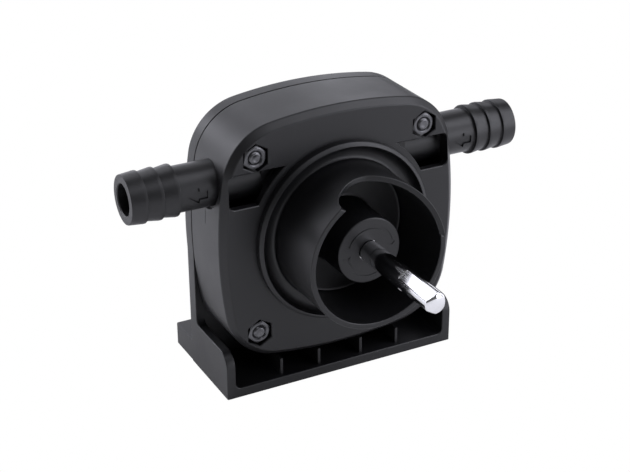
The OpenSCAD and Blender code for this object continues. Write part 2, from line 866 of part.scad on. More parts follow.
// Rubber body with its sealing edge on the shaft
module shaft_seal_lip() {
    lip_r = shaft_r + run_gap;
    cup_r = bearing_r - seal_case_t - press_gap;
    root_y = seal_y + seal_case_t + e;
    lip_y = seal_edge_y;
    spring_r0 = shaft_r + seal_spring_set - seal_spring_t / 2 - 0.08;
    spring_r1 = spring_r0 + 1;
    color(rubber_black) turned([
        [shaft_r + seal_lip_w, root_y], [cup_r, root_y], [cup_r, root_y + 1.6],
        [spring_r1 + 0.3, root_y + 1.6], [spring_r1, lip_y - 1], [spring_r0, lip_y - 0.7],
        [spring_r0, lip_y + 0.7], [spring_r1, lip_y + 1], [spring_r1 - 0.4, lip_y + 1.5],
        [shaft_r + 0.9, lip_y + 1.5], [lip_r, lip_y + 0.2], [lip_r, lip_y - 0.2],
        [shaft_r + 0.9, lip_y - 1.2], [shaft_r + 1.2, root_y + 1.2]
    ]);
}

module shaft_seal_spring() {
    color(bright_steel) translate([0, seal_edge_y, shaft_h]) rotate([-90, 0, 0])
        rotate_extrude() translate([shaft_r + seal_spring_set, 0]) circle(d = seal_spring_t);
}

// Ball track cut round a ring of the bearing
module ball_track() {
    translate([0, bearing_mid_y, shaft_h]) rotate([-90, 0, 0])
        rotate_extrude() translate([pitch_r, 0]) circle(r = ball_r + race_gap);
}

module bearing_outer_ring() {
    slot = shield_t + press_gap;
    color(bright_steel) difference() {
        washer(outer_ring_r, bearing_r - press_gap, bearing_y, retainer_y);
        ball_track();
        for (y = [bearing_y + shield_set, retainer_y - shield_set - slot])
            washer(outer_ring_r - 1, outer_ring_r + 0.5, y, y + slot);
    }
}

module bearing_inner_ring() {
    color(bright_steel) difference() {
        washer(shaft_r + press_gap / 2, inner_ring_r, bearing_y, retainer_y);
        ball_track();
    }
}

module bearing_shields() {
    slot = shield_t + press_gap;
    color(dark_steel) for (y = [bearing_y + shield_set, retainer_y - shield_set - slot])
        washer(inner_ring_r + 0.3, outer_ring_r + 0.45, y + press_gap / 2, y + press_gap / 2 + shield_t);
}

module at_balls() {
    for (k = [0:balls - 1])
        translate([0, bearing_mid_y, shaft_h]) rotate([0, k * 360 / balls, 0])
            translate([pitch_r, 0, 0]) children();
}

module bearing_balls() {
    color(bright_steel) at_balls() sphere(r = ball_r);
}

module bearing_cage() {
    ball_hole_gap = 0.06;
    color(bronze) difference() {
        washer(pitch_r - cage_t / 2, pitch_r + cage_t / 2, bearing_y + cage_set, retainer_y - cage_set);
        at_balls() rotate([0, 90, 0]) cylinder(h = 3 * cage_t, r = ball_r + ball_hole_gap, center = true);
    }
}

// Inward circlip that keeps the bearing in the hub
module bearing_retainer() {
    y = retainer_y + 0.05;
    opening = 4;
    color(dark_steel) difference() {
        washer(outer_ring_r, bearing_r + retainer_lip - 0.05, y, y + retainer_t);
        translate([-opening / 2, y - past, shaft_h - bearing_r - 2])
            cube([opening, retainer_t + 2 * past, 5]);
    }
}

module rear_bush() {
    color(bronze) washer(shaft_r + run_gap, bush_r - press_gap, bush_y, bush_end_y - press_gap);
}

// ---------- rotor ----------

// Shank with a rounded nose and three drive flats, turned down from the shaft,
// with an undercut at the hub, a shoulder behind its face and two circlip grooves
module drive_shaft() {
    nose = 1.3;
    shoulder_edge = 0.3;
    clip_width = circlip_t + press_gap;
    color(bright_steel) difference() {
        turned([
            [0, tip_y], [shank_r - 1.5, tip_y + 0.15], [shank_r - 0.7, tip_y + 0.5], [shank_r, tip_y + nose],
            [shank_r, neck_y], [shank_r - undercut, neck_y], [shank_r - undercut, shoulder_y],
            [shaft_r - shoulder_edge, shoulder_y], [shaft_r, shoulder_y + shoulder_edge],
            [shaft_r, bearing_y - clip_width], [circlip_groove_r, bearing_y - clip_width],
            [circlip_groove_r, bearing_y], [shaft_r, bearing_y],
            [shaft_r, retainer_y], [circlip_groove_r, retainer_y],
            [circlip_groove_r, retainer_y + clip_width], [shaft_r, retainer_y + clip_width],
            [shaft_r, shaft_end_y - 0.5], [shaft_r - 0.5, shaft_end_y], [0, shaft_end_y]
        ]);
        for (a = [0, 120, 240])
            translate([0, tip_y - past, shaft_h]) rotate([0, a, 0])
                translate([shank_r - flat_depth, 0, -shank_r]) cube([shank_r, flat_len + past, 2 * shank_r]);
        translate([0, pin_y, shaft_h]) cylinder(h = 4 * shaft_r, r = pin_r, center = true);
    }
}

module shaft_circlips() {
    opening = 3.6;
    color(dark_steel) for (y = [circlip_front_y - e, retainer_y + e])
        difference() {
            washer(circlip_groove_r + press_gap, circlip_r, y, y + circlip_t);
            translate([-opening / 2, y - past, shaft_h - circlip_r - 1])
                cube([opening, circlip_t + 2 * past, circlip_r - circlip_groove_r + 1.5]);
        }
}

module drive_pin() {
    color(bright_steel) translate([0, pin_y, shaft_h])
        cylinder(h = 2 * sleeve_r - 0.6, r = pin_r - press_gap / 2, center = true);
}

module impeller_sleeve() {
    color(bronze) difference() {
        washer(shaft_r + press_gap / 2, sleeve_r, rotor_y0, rotor_y1);
        translate([0, pin_y, shaft_h]) cylinder(h = 4 * sleeve_r, r = pin_r, center = true);
    }
}

// Rubber hub with vanes that end in round sealing beads
module impeller() {
    vane_r = chamber_r - cam_h - impeller_gap;
    bead_r = 0.8 * vane_t;
    color(rubber_black) slab(rotor_y0, rotor_y1) translate([0, shaft_h]) difference() {
        union() {
            circle(r = impeller_hub_r);
            for (k = [0:vanes - 1]) rotate(k * 360 / vanes) {
                translate([0, -vane_t / 2]) square([vane_r - bead_r, vane_t]);
                translate([vane_r - bead_r, 0]) circle(r = bead_r);
            }
        }
        circle(r = sleeve_r + e);
    }
}

front_housing();
rear_cover();
casing_seal();
wear_plate();
outlet_stem();
inlet_stem();
stem_seals();
stem_clips();
casing_bolts();
casing_washers();
casing_nuts();
shaft_seal_case();
shaft_seal_lip();
shaft_seal_spring();
bearing_outer_ring();
bearing_shields();
bearing_retainer();
rear_bush();
drive_shaft();
shaft_circlips();
bearing_inner_ring();
drive_pin();
impeller_sleeve();
impeller();
bearing_balls();
bearing_cage();
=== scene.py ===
import math

import bmesh
import bpy
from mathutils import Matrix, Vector


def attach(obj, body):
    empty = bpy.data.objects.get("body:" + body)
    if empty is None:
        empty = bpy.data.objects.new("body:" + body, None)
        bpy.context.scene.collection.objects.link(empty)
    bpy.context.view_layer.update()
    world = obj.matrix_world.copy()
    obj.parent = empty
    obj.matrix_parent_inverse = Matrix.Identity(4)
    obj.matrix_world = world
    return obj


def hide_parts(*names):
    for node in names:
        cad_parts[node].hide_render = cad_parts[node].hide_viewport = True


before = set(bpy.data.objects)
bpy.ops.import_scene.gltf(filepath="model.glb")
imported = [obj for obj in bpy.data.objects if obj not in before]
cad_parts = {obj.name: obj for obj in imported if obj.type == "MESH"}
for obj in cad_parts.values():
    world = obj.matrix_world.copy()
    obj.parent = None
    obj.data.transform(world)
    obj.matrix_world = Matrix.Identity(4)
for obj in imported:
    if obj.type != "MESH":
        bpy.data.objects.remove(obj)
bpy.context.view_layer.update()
print("frame loaded:", len(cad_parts), "nodes")

mm = 0.001
shaftHeight = 58.9

# where things stand along the pump, front to back, in mm
planes = {
    "shankTip": -89.1,
    "collarRim": -51.0,
    "hubFace": -43.5,
    "bearing": -40.5,
    "ringTop": -26.9,
    "face": -23.4,
    "frontWall": -20.9,    # just inside the wall behind the face
    "chamber": -18.6,
    "stems": -9.5,
    "wearPlate": -1.6,
    "parting": 3.4,
    "back": 9.4,
}


def at(x, y, z):
    return Vector((x, y, z)) * mm


def clearSelection():
    if bpy.context.object and bpy.context.object.mode == "EDIT":
        bpy.ops.object.mode_set(mode="OBJECT")
    bpy.ops.object.select_all(action="DESELECT")


def makeActive(piece):
    clearSelection()
    piece.select_set(True)
    bpy.context.view_layer.objects.active = piece


def nameIt(piece, name):
    piece.name = name
    piece.data.name = name
    return piece


# a new mesh of one vertex, left in edit mode to be drawn on
def startDrawing(name, place):
    clearSelection()
    bpy.ops.mesh.primitive_plane_add(size=mm, location=at(*place))
    piece = nameIt(bpy.context.object, name)
    bpy.ops.object.transform_apply(location=True, rotation=False, scale=False)
    bpy.ops.object.mode_set(mode="EDIT")
    bpy.ops.mesh.merge(type="CENTER")
    return piece


# straight edges on from the last vertex
def drawTo(piece, *places):
    for place in places:
        last = next(v.co for v in bmesh.from_edit_mesh(piece.data).verts if v.select)
        bpy.ops.mesh.extrude_vertices_move(TRANSFORM_OT_translate={"value": at(*place) - last})


# an arc on from the last vertex
def drawArc(centre, degrees, steps, axis=(0, 1, 0)):
    bpy.ops.mesh.spin(steps=steps, angle=math.radians(degrees), center=at(*centre), axis=axis)


# the drawn loop becomes one face, which is then thickened
def fillAndExtrude(x, y, z, keepEditing=False):
    bpy.ops.mesh.select_all(action="SELECT")
    bpy.ops.mesh.remove_doubles(threshold=0.005 * mm)
    bpy.ops.mesh.edge_face_add()
    bpy.ops.mesh.extrude_region_move(TRANSFORM_OT_translate={"value": at(x, y, z)})
    bpy.ops.mesh.select_all(action="SELECT")
    bpy.ops.mesh.normals_make_consistent(inside=False)
    if not keepEditing:
        bpy.ops.object.mode_set(mode="OBJECT")


# a profile of (radius, place along the axis) turned round it
def turnProfile(name, profile, centre, along, across, steps):
    places = [Vector(centre) + Vector(across) * r + Vector(along) * a for r, a in profile]
    piece = startDrawing(name, places[0])
    drawTo(piece, *places[1:])
    bpy.ops.mesh.select_all(action="SELECT")
    bpy.ops.mesh.spin(steps=steps, angle=math.tau, center=at(*centre), axis=along)
    bpy.ops.mesh.select_all(action="SELECT")
    bpy.ops.mesh.remove_doubles(threshold=0.002 * mm)
    bpy.ops.mesh.normals_make_consistent(inside=False)
    bpy.ops.object.mode_set(mode="OBJECT")
    return piece


def turnOnShaft(name, profile, steps=144, x=0, z=shaftHeight):
    return turnProfile(name, profile, (x, 0, z), (0, 1, 0), (1, 0, 0), steps)


def closed(profile):
    return profile + profile[:1]


# a round or many-sided bar, upright before its turn
def addBar(name, radius, length, middle, sides, turn=(0, 0, 0)):
    clearSelection()
    bpy.ops.mesh.primitive_cylinder_add(
        vertices=sides, radius=radius * mm, depth=length * mm, location=at(*middle), rotation=turn)
    piece = nameIt(bpy.context.object, name)
    bpy.ops.object.transform_apply(location=True, rotation=True, scale=True)
    return piece


# along Y
def addRod(name, radius, y0, y1, x=0, z=shaftHeight, sides=64):
    return addBar(name, radius, y1 - y0, (x, (y0 + y1) / 2, z), sides, (math.radians(90), 0, 0))


# along X, on the stems' axis
def addStemRod(name, radius, x0, x1, sides=96):
    middle = ((x0 + x1) / 2, planes["stems"], stems["height"])
    return addBar(name, radius, abs(x1 - x0), middle, sides, (0, math.radians(90), 0))


def addBlock(name, x0, x1, y0, y1, z0, z1):
    clearSelection()
    middle = at((x0 + x1) / 2, (y0 + y1) / 2, (z0 + z1) / 2)
    bpy.ops.mesh.primitive_cube_add(size=1, location=middle)
    piece = nameIt(bpy.context.object, name)
    piece.scale = at(x1 - x0, y1 - y0, z1 - z0)
    bpy.ops.object.transform_apply(location=True, rotation=True, scale=True)
    return piece


# turns a piece about the shaft's axis, clockwise seen from the front
def turnRound(piece, degrees, x=0, z=shaftHeight):
    makeActive(piece)
    bpy.ops.object.mode_set(mode="EDIT")
    bpy.ops.mesh.select_all(action="SELECT")
    bpy.ops.transform.rotate(value=math.radians(-degrees), orient_axis="Y", center_override=at(x, 0, z))
    bpy.ops.object.mode_set(mode="OBJECT")
    return piece


def copyPiece(piece, name, x=0, y=0, z=0):
    makeActive(piece)
    bpy.ops.object.duplicate()
    copy = nameIt(bpy.context.object, name)
    bpy.ops.object.mode_set(mode="EDIT")
    bpy.ops.mesh.select_all(action="SELECT")
    bpy.ops.transform.translate(value=at(x, y, z))
    bpy.ops.object.mode_set(mode="OBJECT")
    return copy


def mirrorPiece(piece, name):
    copy = copyPiece(piece, name)
    makeActive(copy)
    bpy.ops.object.mode_set(mode="EDIT")
    bpy.ops.mesh.select_all(action="SELECT")
    bpy.ops.transform.resize(value=(-1, 1, 1), center_override=(0, 0, 0))
    bpy.ops.mesh.normals_make_consistent(inside=False)
    bpy.ops.object.mode_set(mode="OBJECT")
    return copy


def combine(piece, tool, how="DIFFERENCE"):
    makeActive(piece)
    step = piece.modifiers.new("combine", "BOOLEAN")
    step.operation = how
    step.solver = "EXACT"
    step.object = tool
    bpy.ops.object.modifier_apply(modifier=step.name)
    bpy.data.objects.remove(tool)
    return piece


# in edit mode, selects the faces that pass the test
def selectFaces(piece, test):
    bpy.ops.mesh.select_mode(type="FACE")
    bpy.ops.mesh.select_all(action="DESELECT")
    mesh = bmesh.from_edit_mesh(piece.data)
    for face in mesh.faces:
        if test(face):
            face.select_set(True)
    bmesh.update_edit_mesh(piece.data)


# rounds the edges that turn by more than sharp degrees and pass the test on their middle, in mm
def roundEdges(piece, width, segments, test=lambda p: True, sharp=28):
    makeActive(piece)
    bpy.ops.object.mode_set(mode="EDIT")
    bpy.ops.mesh.select_mode(type="EDGE")
    bpy.ops.mesh.select_all(action="DESELECT")
    mesh = bmesh.from_edit_mesh(piece.data)
    for edge in mesh.edges:
        middle = (edge.verts[0].co + edge.verts[1].co) / (2 * mm)
        turns = len(edge.link_faces) == 2 and edge.calc_face_angle(0) > math.radians(sharp)
        if turns and test(middle):
            edge.select_set(True)
    bmesh.update_edit_mesh(piece.data)
    bpy.ops.mesh.bevel(offset=width * mm, segments=segments, affect="EDGES", clamp_overlap=False)
    bpy.ops.mesh.select_mode(type="VERT")
    bpy.ops.mesh.select_all(action="SELECT")
    bpy.ops.mesh.remove_doubles(threshold=0.004 * mm)
    bpy.ops.object.mode_set(mode="OBJECT")
    return piece


def smoothPiece(piece, degrees=32):
    makeActive(piece)
    bpy.ops.object.shade_smooth_by_angle(angle=math.radians(degrees))
    step = piece.modifiers.new("weightedNormals", "WEIGHTED_NORMAL")
    step.keep_sharp = True
    bpy.ops.object.modifier_apply(modifier=step.name)
    return piece


def distanceFrom(p, x, z):
    return math.hypot(p.x - x, p.z - z)


# the camera, at the height and side that the pump is best seen from
cameraView = {
    "place": (-0.23100, -0.44610, 0.28942),
    "azimuth": 27.472,
    "elevation": 25.841,
    "roll": -0.31,
    "lens": 83.5,
    "sensor": 36,
}


def addCamera():
    az = math.radians(cameraView["azimuth"])
    el = math.radians(cameraView["elevation"])
    forward = Vector((math.sin(az) * math.cos(el), math.cos(az) * math.cos(el), -math.sin(el)))
    bpy.ops.object.camera_add(location=cameraView["place"])
    camera = bpy.context.object
    camera.name = "viewCamera"
    turn = forward.to_track_quat("-Z", "Y").to_matrix()
    right, up = turn.col[0].copy(), turn.col[1].copy()
    roll = math.radians(cameraView["roll"])
    turn.col[0] = right * math.cos(roll) + up * math.sin(roll)
    turn.col[1] = up * math.cos(roll) - right * math.sin(roll)
    camera.rotation_euler = turn.to_euler()
    camera.data.lens = cameraView["lens"]
    camera.data.sensor_width = cameraView["sensor"]
    camera.data.clip_start = 0.01
    bpy.context.scene.camera = camera


addCamera()
print("camera set")

# plain soft light from square panels, most of them behind and to the right
studio = {
    "worldColour": (1.0, 1.0, 1.0),
    "worldStrength": 0.12,
    "floorColour": (0.86, 0.86, 0.87),
    "floorGlow": 0.19,
    "floorRoughness": 0.9,
    "floorSize": 8.0,
    "floorDrop": 0.0002,   # below the foot
    "seenStrength": 1.0,   # of floor and world where the camera looks straight at them
    "lightColour": (0.96, 0.965, 1.06),
    "aim": (0, 0, 0.06),
    "panelSize": 0.75,
    "panelDistance": 1.5,
    # degrees round from the front towards the right, degrees up, strength
    "panels": (
        (40, 8, 3.78), (80, 8, 1.45), (160, 8, 1.50), (200, 8, 0.95), (240, 8, 3.84),
        (60, 30, 3.06), (140, 30, 1.03), (180, 30, 0.90), (220, 30, 4.38),
        (0, 55, 1.36), (60, 55, 2.98), (180, 55, 1.48),
    ),
}


def addLights():
    size = studio["panelSize"]
    for azimuth, elevation, strength in studio["panels"]:
        az, el = math.radians(azimuth), math.radians(elevation)
        away = Vector((math.sin(az) * math.cos(el), -math.cos(az) * math.cos(el), math.sin(el)))
        place = Vector(studio["aim"]) + away * studio["panelDistance"]
        bpy.ops.object.light_add(type="AREA", location=place)
        lamp = bpy.context.object
        lamp.name = "panel%dUp%d" % (azimuth, elevation)
        lamp.data.size = size
        lamp.data.color = studio["lightColour"]
        lamp.data.energy = strength * math.pi * size ** 2
        lamp.rotation_euler = (-away).to_track_quat("-Z", "Y").to_euler()
        lamp.visible_camera = False
    # to the camera the world is as pale as the floor, and it lights the pump only a little
    world = bpy.data.worlds.new("studioWorld")
    world.use_nodes = True
    nodes, links = world.node_tree.nodes, world.node_tree.links
    background = nodes["Background"]
    background.inputs["Color"].default_value = (*studio["worldColour"], 1)
    ray = nodes.new("ShaderNodeLightPath")
    strength = nodes.new("ShaderNodeMapRange")
    strength.inputs["To Min"].default_value = studio["worldStrength"]
    strength.inputs["To Max"].default_value = studio["seenStrength"]
    links.new(ray.outputs["Is Camera Ray"], strength.inputs["Value"])
    links.new(strength.outputs["Result"], background.inputs["Strength"])
    bpy.context.scene.world = world
    bpy.context.scene.view_settings.view_transform = "Standard"


def addFloor():
    clearSelection()
    bpy.ops.mesh.primitive_plane_add(size=studio["floorSize"], location=(0, 0, -studio["floorDrop"]))
    floor = nameIt(bpy.context.object, "studioFloor")
    bpy.ops.object.transform_apply(location=True, rotation=True, scale=True)
    paper = bpy.data.materials.new("studioPaper")
    paper.use_nodes = True
    nodes, links = paper.node_tree.nodes, paper.node_tree.links
    surface = nodes["Principled BSDF"]
    surface.inputs["Base Color"].default_value = (*studio["floorColour"], 1)
    surface.inputs["Roughness"].default_value = studio["floorRoughness"]
    surface.inputs["Emission Color"].default_value = (*studio["floorColour"], 1)
    surface.inputs["Emission Strength"].default_value = studio["floorGlow"]
    # seen directly the lit paper is burnt out to white, and in reflections it keeps its own tone
    glow = nodes.new("ShaderNodeEmission")
    glow.inputs["Strength"].default_value = studio["seenStrength"]
    ray = nodes.new("ShaderNodeLightPath")
    mix = nodes.new("ShaderNodeMixShader")
    links.new(ray.outputs["Is Camera Ray"], mix.inputs["Fac"])
    links.new(surface.outputs["BSDF"], mix.inputs[1])
    links.new(glow.outputs["Emission"], mix.inputs[2])
    links.new(mix.outputs["Shader"], nodes["Material Output"].inputs["Surface"])
    floor.data.materials.append(paper)


addLights()
addFloor()
print("studio built")


# a shader node with its plain socket values
def addNode(tree, kind, x, y, **values):
    node = tree.nodes.new(kind)
    node.location = (x, y)
    for name, value in values.items():
        node.inputs[name].default_value = value
    return node


def addRange(tree, x, y, fromLow, fromHigh, toLow=0.0, toHigh=1.0):
    limits = {"From Min": fromLow, "From Max": fromHigh, "To Min": toLow, "To Max": toHigh}
    return addNode(tree, "ShaderNodeMapRange", x, y, **limits)


# a mix of two colours: the sockets for its factor, both colours and the result
def addColourMix(tree, x, y):
    node = addNode(tree, "ShaderNodeMix", x, y)
    node.data_type = "RGBA"
    first, second = (socket for socket in node.inputs if socket.type == "RGBA")
    result = next(socket for socket in node.outputs if socket.type == "RGBA")
    return node.inputs[0], first, second, result


def newGroup(name, inputs):
    group = bpy.data.node_groups.new(name, "ShaderNodeTree")
    for socket, value in inputs.items():
        kind = "NodeSocketColor" if isinstance(value, tuple) else "NodeSocketFloat"
        made = group.interface.new_socket(name=socket, in_out="INPUT", socket_type=kind)
        made.default_value = value
    for socket in ("Colour", "Roughness", "Height"):
        kind = "NodeSocketColor" if socket == "Colour" else "NodeSocketFloat"
        group.interface.new_socket(name=socket, in_out="OUTPUT", socket_type=kind)
    start = addNode(group, "NodeGroupInput", -900, 0)
    end = addNode(group, "NodeGroupOutput", 700, 0)
    return group, start, end


# the group's roughness, spread either way by a noise
def addRoughness(group, start, end, noise, x, y):
    links = group.links
    spread = addRange(group, x, y, 0.3, 0.7, -1.0)
    links.new(noise.outputs["Fac"], spread.inputs["Value"])
    rough = addNode(group, "ShaderNodeMath", x + 250, y)
    rough.operation = "MULTIPLY_ADD"
    links.new(spread.outputs["Result"], rough.inputs[0])
    links.new(start.outputs["Roughness Spread"], rough.inputs[1])
    links.new(start.outputs["Roughness"], rough.inputs[2])
    links.new(rough.outputs["Value"], end.inputs["Roughness"])


# fine spark-eroded grain, slow mottling and a little handling dust
def buildMouldGrain():
    group, start, end = newGroup(
        "mouldGrain",
        {"Colour": (0.02, 0.02, 0.02, 1), "Grain Scale": 1800.0, "Mottle": 0.25,
         "Roughness": 0.45, "Roughness Spread": 0.08})
    links = group.links
    place = addNode(group, "ShaderNodeTexCoord", -900, -300)
    grain = addNode(group, "ShaderNodeTexNoise", -600, -250, Detail=3.0, Roughness=0.62)
    mottle = addNode(group, "ShaderNodeTexNoise", -600, 50, Scale=55.0, Detail=4.0, Roughness=0.6)
    flow = addNode(group, "ShaderNodeTexNoise", -600, 320, Scale=14.0, Detail=2.0, Roughness=0.5)
    for noise in (grain, mottle, flow):
        links.new(place.outputs["Object"], noise.inputs["Vector"])
    links.new(start.outputs["Grain Scale"], grain.inputs["Scale"])
    addRoughness(group, start, end, mottle, -350, 60)
    both = addNode(group, "ShaderNodeMath", -350, 300)
    both.operation = "ADD"
    links.new(mottle.outputs["Fac"], both.inputs[0])
    links.new(flow.outputs["Fac"], both.inputs[1])
    tone = addRange(group, -100, 300, 0.7, 1.3)
    links.new(both.outputs["Value"], tone.inputs["Value"])
    links.new(start.outputs["Mottle"], tone.inputs["To Max"])
    factor, plastic, dust, lifted = addColourMix(group, 350, 250)
    dust.default_value = (0.075, 0.075, 0.08, 1)
    links.new(start.outputs["Colour"], plastic)
    links.new(tone.outputs["Result"], factor)
    links.new(lifted, end.inputs["Colour"])
    links.new(grain.outputs["Fac"], end.inputs["Height"])
    return group


# turning marks or brush lines: noise drawn out along one direction, with stained patches
def buildMetalWear():
    group, start, end = newGroup(
        "metalWear",
        {"Colour": (0.6, 0.6, 0.6, 1), "Dark": (0.2, 0.2, 0.2, 1), "Stretch X": 1.0, "Stretch Y": 1.0,
         "Stretch Z": 1.0, "Scale": 900.0, "Roughness": 0.25, "Roughness Spread": 0.1, "Stain": 0.3})
    links = group.links
    place = addNode(group, "ShaderNodeTexCoord", -900, -300)
    stretch = addNode(group, "ShaderNodeCombineXYZ", -900, -550)
    for axis in "XYZ":
        links.new(start.outputs["Stretch " + axis], stretch.inputs[axis])
    lined = addNode(group, "ShaderNodeVectorMath", -700, -400)
    lined.operation = "MULTIPLY"
    links.new(place.outputs["Object"], lined.inputs[0])
    links.new(stretch.outputs["Vector"], lined.inputs[1])
    lines = addNode(group, "ShaderNodeTexNoise", -500, -350, Detail=4.0, Roughness=0.7)
    links.new(lined.outputs["Vector"], lines.inputs["Vector"])
    links.new(start.outputs["Scale"], lines.inputs["Scale"])
    stain = addNode(group, "ShaderNodeTexNoise", -500, 100, Scale=260.0, Detail=5.0, Roughness=0.65)
    links.new(place.outputs["Object"], stain.inputs["Vector"])
    patch = addRange(group, -250, 150, 0.45, 0.75)
    links.new(stain.outputs["Fac"], patch.inputs["Value"])
    links.new(start.outputs["Stain"], patch.inputs["To Max"])
    factor, bare, dark, tinted = addColourMix(group, 300, 200)
    links.new(start.outputs["Colour"], bare)
    links.new(start.outputs["Dark"], dark)
    links.new(patch.outputs["Result"], factor)
    addRoughness(group, start, end, lines, -250, -150)
    links.new(tinted, end.inputs["Colour"])
    links.new(lines.outputs["Fac"], end.inputs["Height"])
    return group


groups = {"mouldGrain": buildMouldGrain(), "metalWear": buildMetalWear()}

# plastics and rubbers: these sockets' values, then the bump's strength and its depth in mm
mouldedSockets = ("Colour", "Grain Scale", "Mottle", "Roughness", "Roughness Spread")
moulded = {
    "housingBlack": ((0.0035, 0.0035, 0.0042), 2100.0, 0.03, 0.42, 0.035, 0.22, 0.05),
    "coverBlack": ((0.0035, 0.0035, 0.0042), 1900.0, 0.03, 0.42, 0.04, 0.22, 0.05),
    "stemBlack": ((0.0038, 0.0038, 0.0044), 2400.0, 0.03, 0.42, 0.04, 0.2, 0.04),
    "sealRubber": ((0.014, 0.014, 0.014), 900.0, 0.12, 0.68, 0.08, 0.3, 0.06),
    "impellerRubber": ((0.017, 0.016, 0.015), 700.0, 0.16, 0.6, 0.1, 0.35, 0.08),
}

metalSockets = (
    "Colour", "Dark", "Stretch X", "Stretch Y", "Scale", "Roughness", "Roughness Spread", "Stain")
metals = {
    "zincSteel": (
        (0.13, 0.13, 0.135), (0.03, 0.03, 0.033), 1.0, 1.0, 1500.0, 0.34, 0.1, 0.5, 0.25, 0.04),
    "chromedSteel": (
        (0.82, 0.82, 0.83), (0.45, 0.45, 0.46), 1.0, 0.06, 2200.0, 0.11, 0.05, 0.12, 0.06, 0.02),
    "springSteel": (
        (0.5, 0.5, 0.51), (0.2, 0.2, 0.22), 0.1, 1.0, 1400.0, 0.26, 0.1, 0.35, 0.12, 0.03),
    "bearingSteel": (
        (0.6, 0.6, 0.6), (0.34, 0.34, 0.35), 1.0, 6.0, 700.0, 0.2, 0.08, 0.25, 0.1, 0.02),
    "plateSteel": (
        (0.58, 0.58, 0.58), (0.35, 0.35, 0.36), 0.05, 1.0, 1600.0, 0.3, 0.12, 0.2, 0.12, 0.02),
    "turnedBronze": (
        (0.55, 0.38, 0.2), (0.26, 0.16, 0.08), 1.0, 5.0, 800.0, 0.34, 0.1, 0.4, 0.15, 0.03),
}


# a material whose colour, roughness and bump come from one of the groups
def buildMaterial(name, groupName, sockets, values, metallic):
    material = bpy.data.materials.new(name)
    material.use_nodes = True
    tree = material.node_tree
    surface = tree.nodes["Principled BSDF"]
    surface.inputs["Metallic"].default_value = metallic
    effect = addNode(tree, "ShaderNodeGroup", -600, 0)
    effect.node_tree = groups[groupName]
    for socket, value in zip(sockets, values):
        effect.inputs[socket].default_value = (*value, 1) if socket in ("Colour", "Dark") else value
    strength, depth = values[-2:]
    bump = addNode(tree, "ShaderNodeBump", -300, -300, Strength=strength, Distance=depth * mm)
    tree.links.new(effect.outputs["Colour"], surface.inputs["Base Color"])
    tree.links.new(effect.outputs["Roughness"], surface.inputs["Roughness"])
    tree.links.new(effect.outputs["Height"], bump.inputs["Height"])
    tree.links.new(bump.outputs["Normal"], surface.inputs["Normal"])
    return material


finishes = {}
for name, values in moulded.items():
    finishes[name] = buildMaterial(name, "mouldGrain", mouldedSockets, values, 0)
for name, values in metals.items():
    finishes[name] = buildMaterial(name, "metalWear", metalSockets, values, 1)
print("finishes mixed")


def fit(piece, body, slot, finish, *nodes):
    piece.data.materials.clear()
    piece.data.materials.append(finishes[finish])
    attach(piece, body)
    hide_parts(*nodes)


stems = {
    "height": 81.8,        # axis above the bench
    "radius": 8.4,
    "bore": 5.8,
    "inner": 24.1,         # end inside the casing
    "outer": 78.4,         # hose end
    "crest": 9.5,          # radius over the barbs
    "crests": (73.0, 66.95, 60.9),
    "betweenBarbs": 0.35,
    # out from the stem's radius, back from its hose end
    "hoseEnd": ((0.3, 0), (0.52, 0.1), (0.62, 0.35)),
    # in from the crest's radius, along from its middle
    "barb": ((0.06, 0.75), (0, 0.4), (0, -0.4), (0.05, -0.5), (0.17, -0.55)),
    # both ends along the stem, and the radius that is left
    "sealGroove": (25.4, 27.8, 7.1),
    "clipSlot": (39.5, 41.2, 7.4),
    "arrowAt": {-1: -53.8, 1: 54.8},
    "arrowTurn": -4,       # above straight ahead
    "arrowLength": 7.4,
    "arrowHead": 4.3,
    "arrowWidth": 6.2,
    "arrowTail": 3.0,
    "arrowDepth": 0.55,
}

casing = {
    "half": 48.3,          # to the middle of each bulged side
    "cornerAt": 23.858,
    "sideRadius": 170,
    "bevel": 2.4,
    "wall": 3,
    "partingGap": 0.5,
    "partingLip": 0.8,
    "edge": 0.45,          # rounding of the face's bevel
    "boltX": 34,
    "boltZ": 34.5,
    "bossRadius": 7.33,
    "boltHole": 2.65,
    "pocketFlats": 9.4,
    "pocketDepth": 4.6,
    "pocketEdge": 0.3,
    "rearEdge": 0.2,
    "rib": 1.6,
    "ribFrom": 32,
    "ribTo": 46,
    "cornerRibTo": 34.5,
    "ribShort": 1.2,       # of the parting line
}

# the pump's chamber behind the face, by radius
chamber = {
    "outside": 33,
    "spigotSeat": 30,
    "inside": 27.5,
}

# round cuts for each stem as radius, near end and far end along X
sockets = {
    "outside": (10.4, 19, 29.5),
    "cuts": ((stems["bore"], 18, 25), (8.45, 24, 30), (8.46, 29.4, 48), (9.3, 46.3, 52)),
    "mouthEdge": 0.35,
    "seamWidth": 0.3,      # mould seam under each stem
    "seamBottom": 66.2,
    "seamAt": 47.75,
}


# the casing's outline at one depth: slow arcs along the sides and round corners between
def drawOutline(name, y, inset=0):
    k = casing
    bulgeAt = k["sideRadius"] - k["half"]
    tangent = math.degrees(math.atan2(k["cornerAt"], bulgeAt + k["cornerAt"]))
    reach = k["sideRadius"] - inset
    a = math.radians(-tangent)
    piece = startDrawing(name, (reach * math.cos(a) - bulgeAt, y, shaftHeight + reach * math.sin(a)))
    for side, corner in (((-1, 0), (1, 1)), ((0, -1), (-1, 1)), ((1, 0), (-1, -1)), ((0, 1), (1, -1))):
        cornerX, cornerZ = (sign * k["cornerAt"] for sign in corner)
        drawArc((side[0] * bulgeAt, y, shaftHeight + side[1] * bulgeAt), 2 * tangent, 14)
        drawArc((cornerX, y, shaftHeight + cornerZ), 90 - 2 * tangent, 20)
    return piece


boltPlaces = [
    (sx * casing["boltX"], shaftHeight + sz * casing["boltZ"])
    for sx in (-1, 1) for sz in (-1, 1)
]

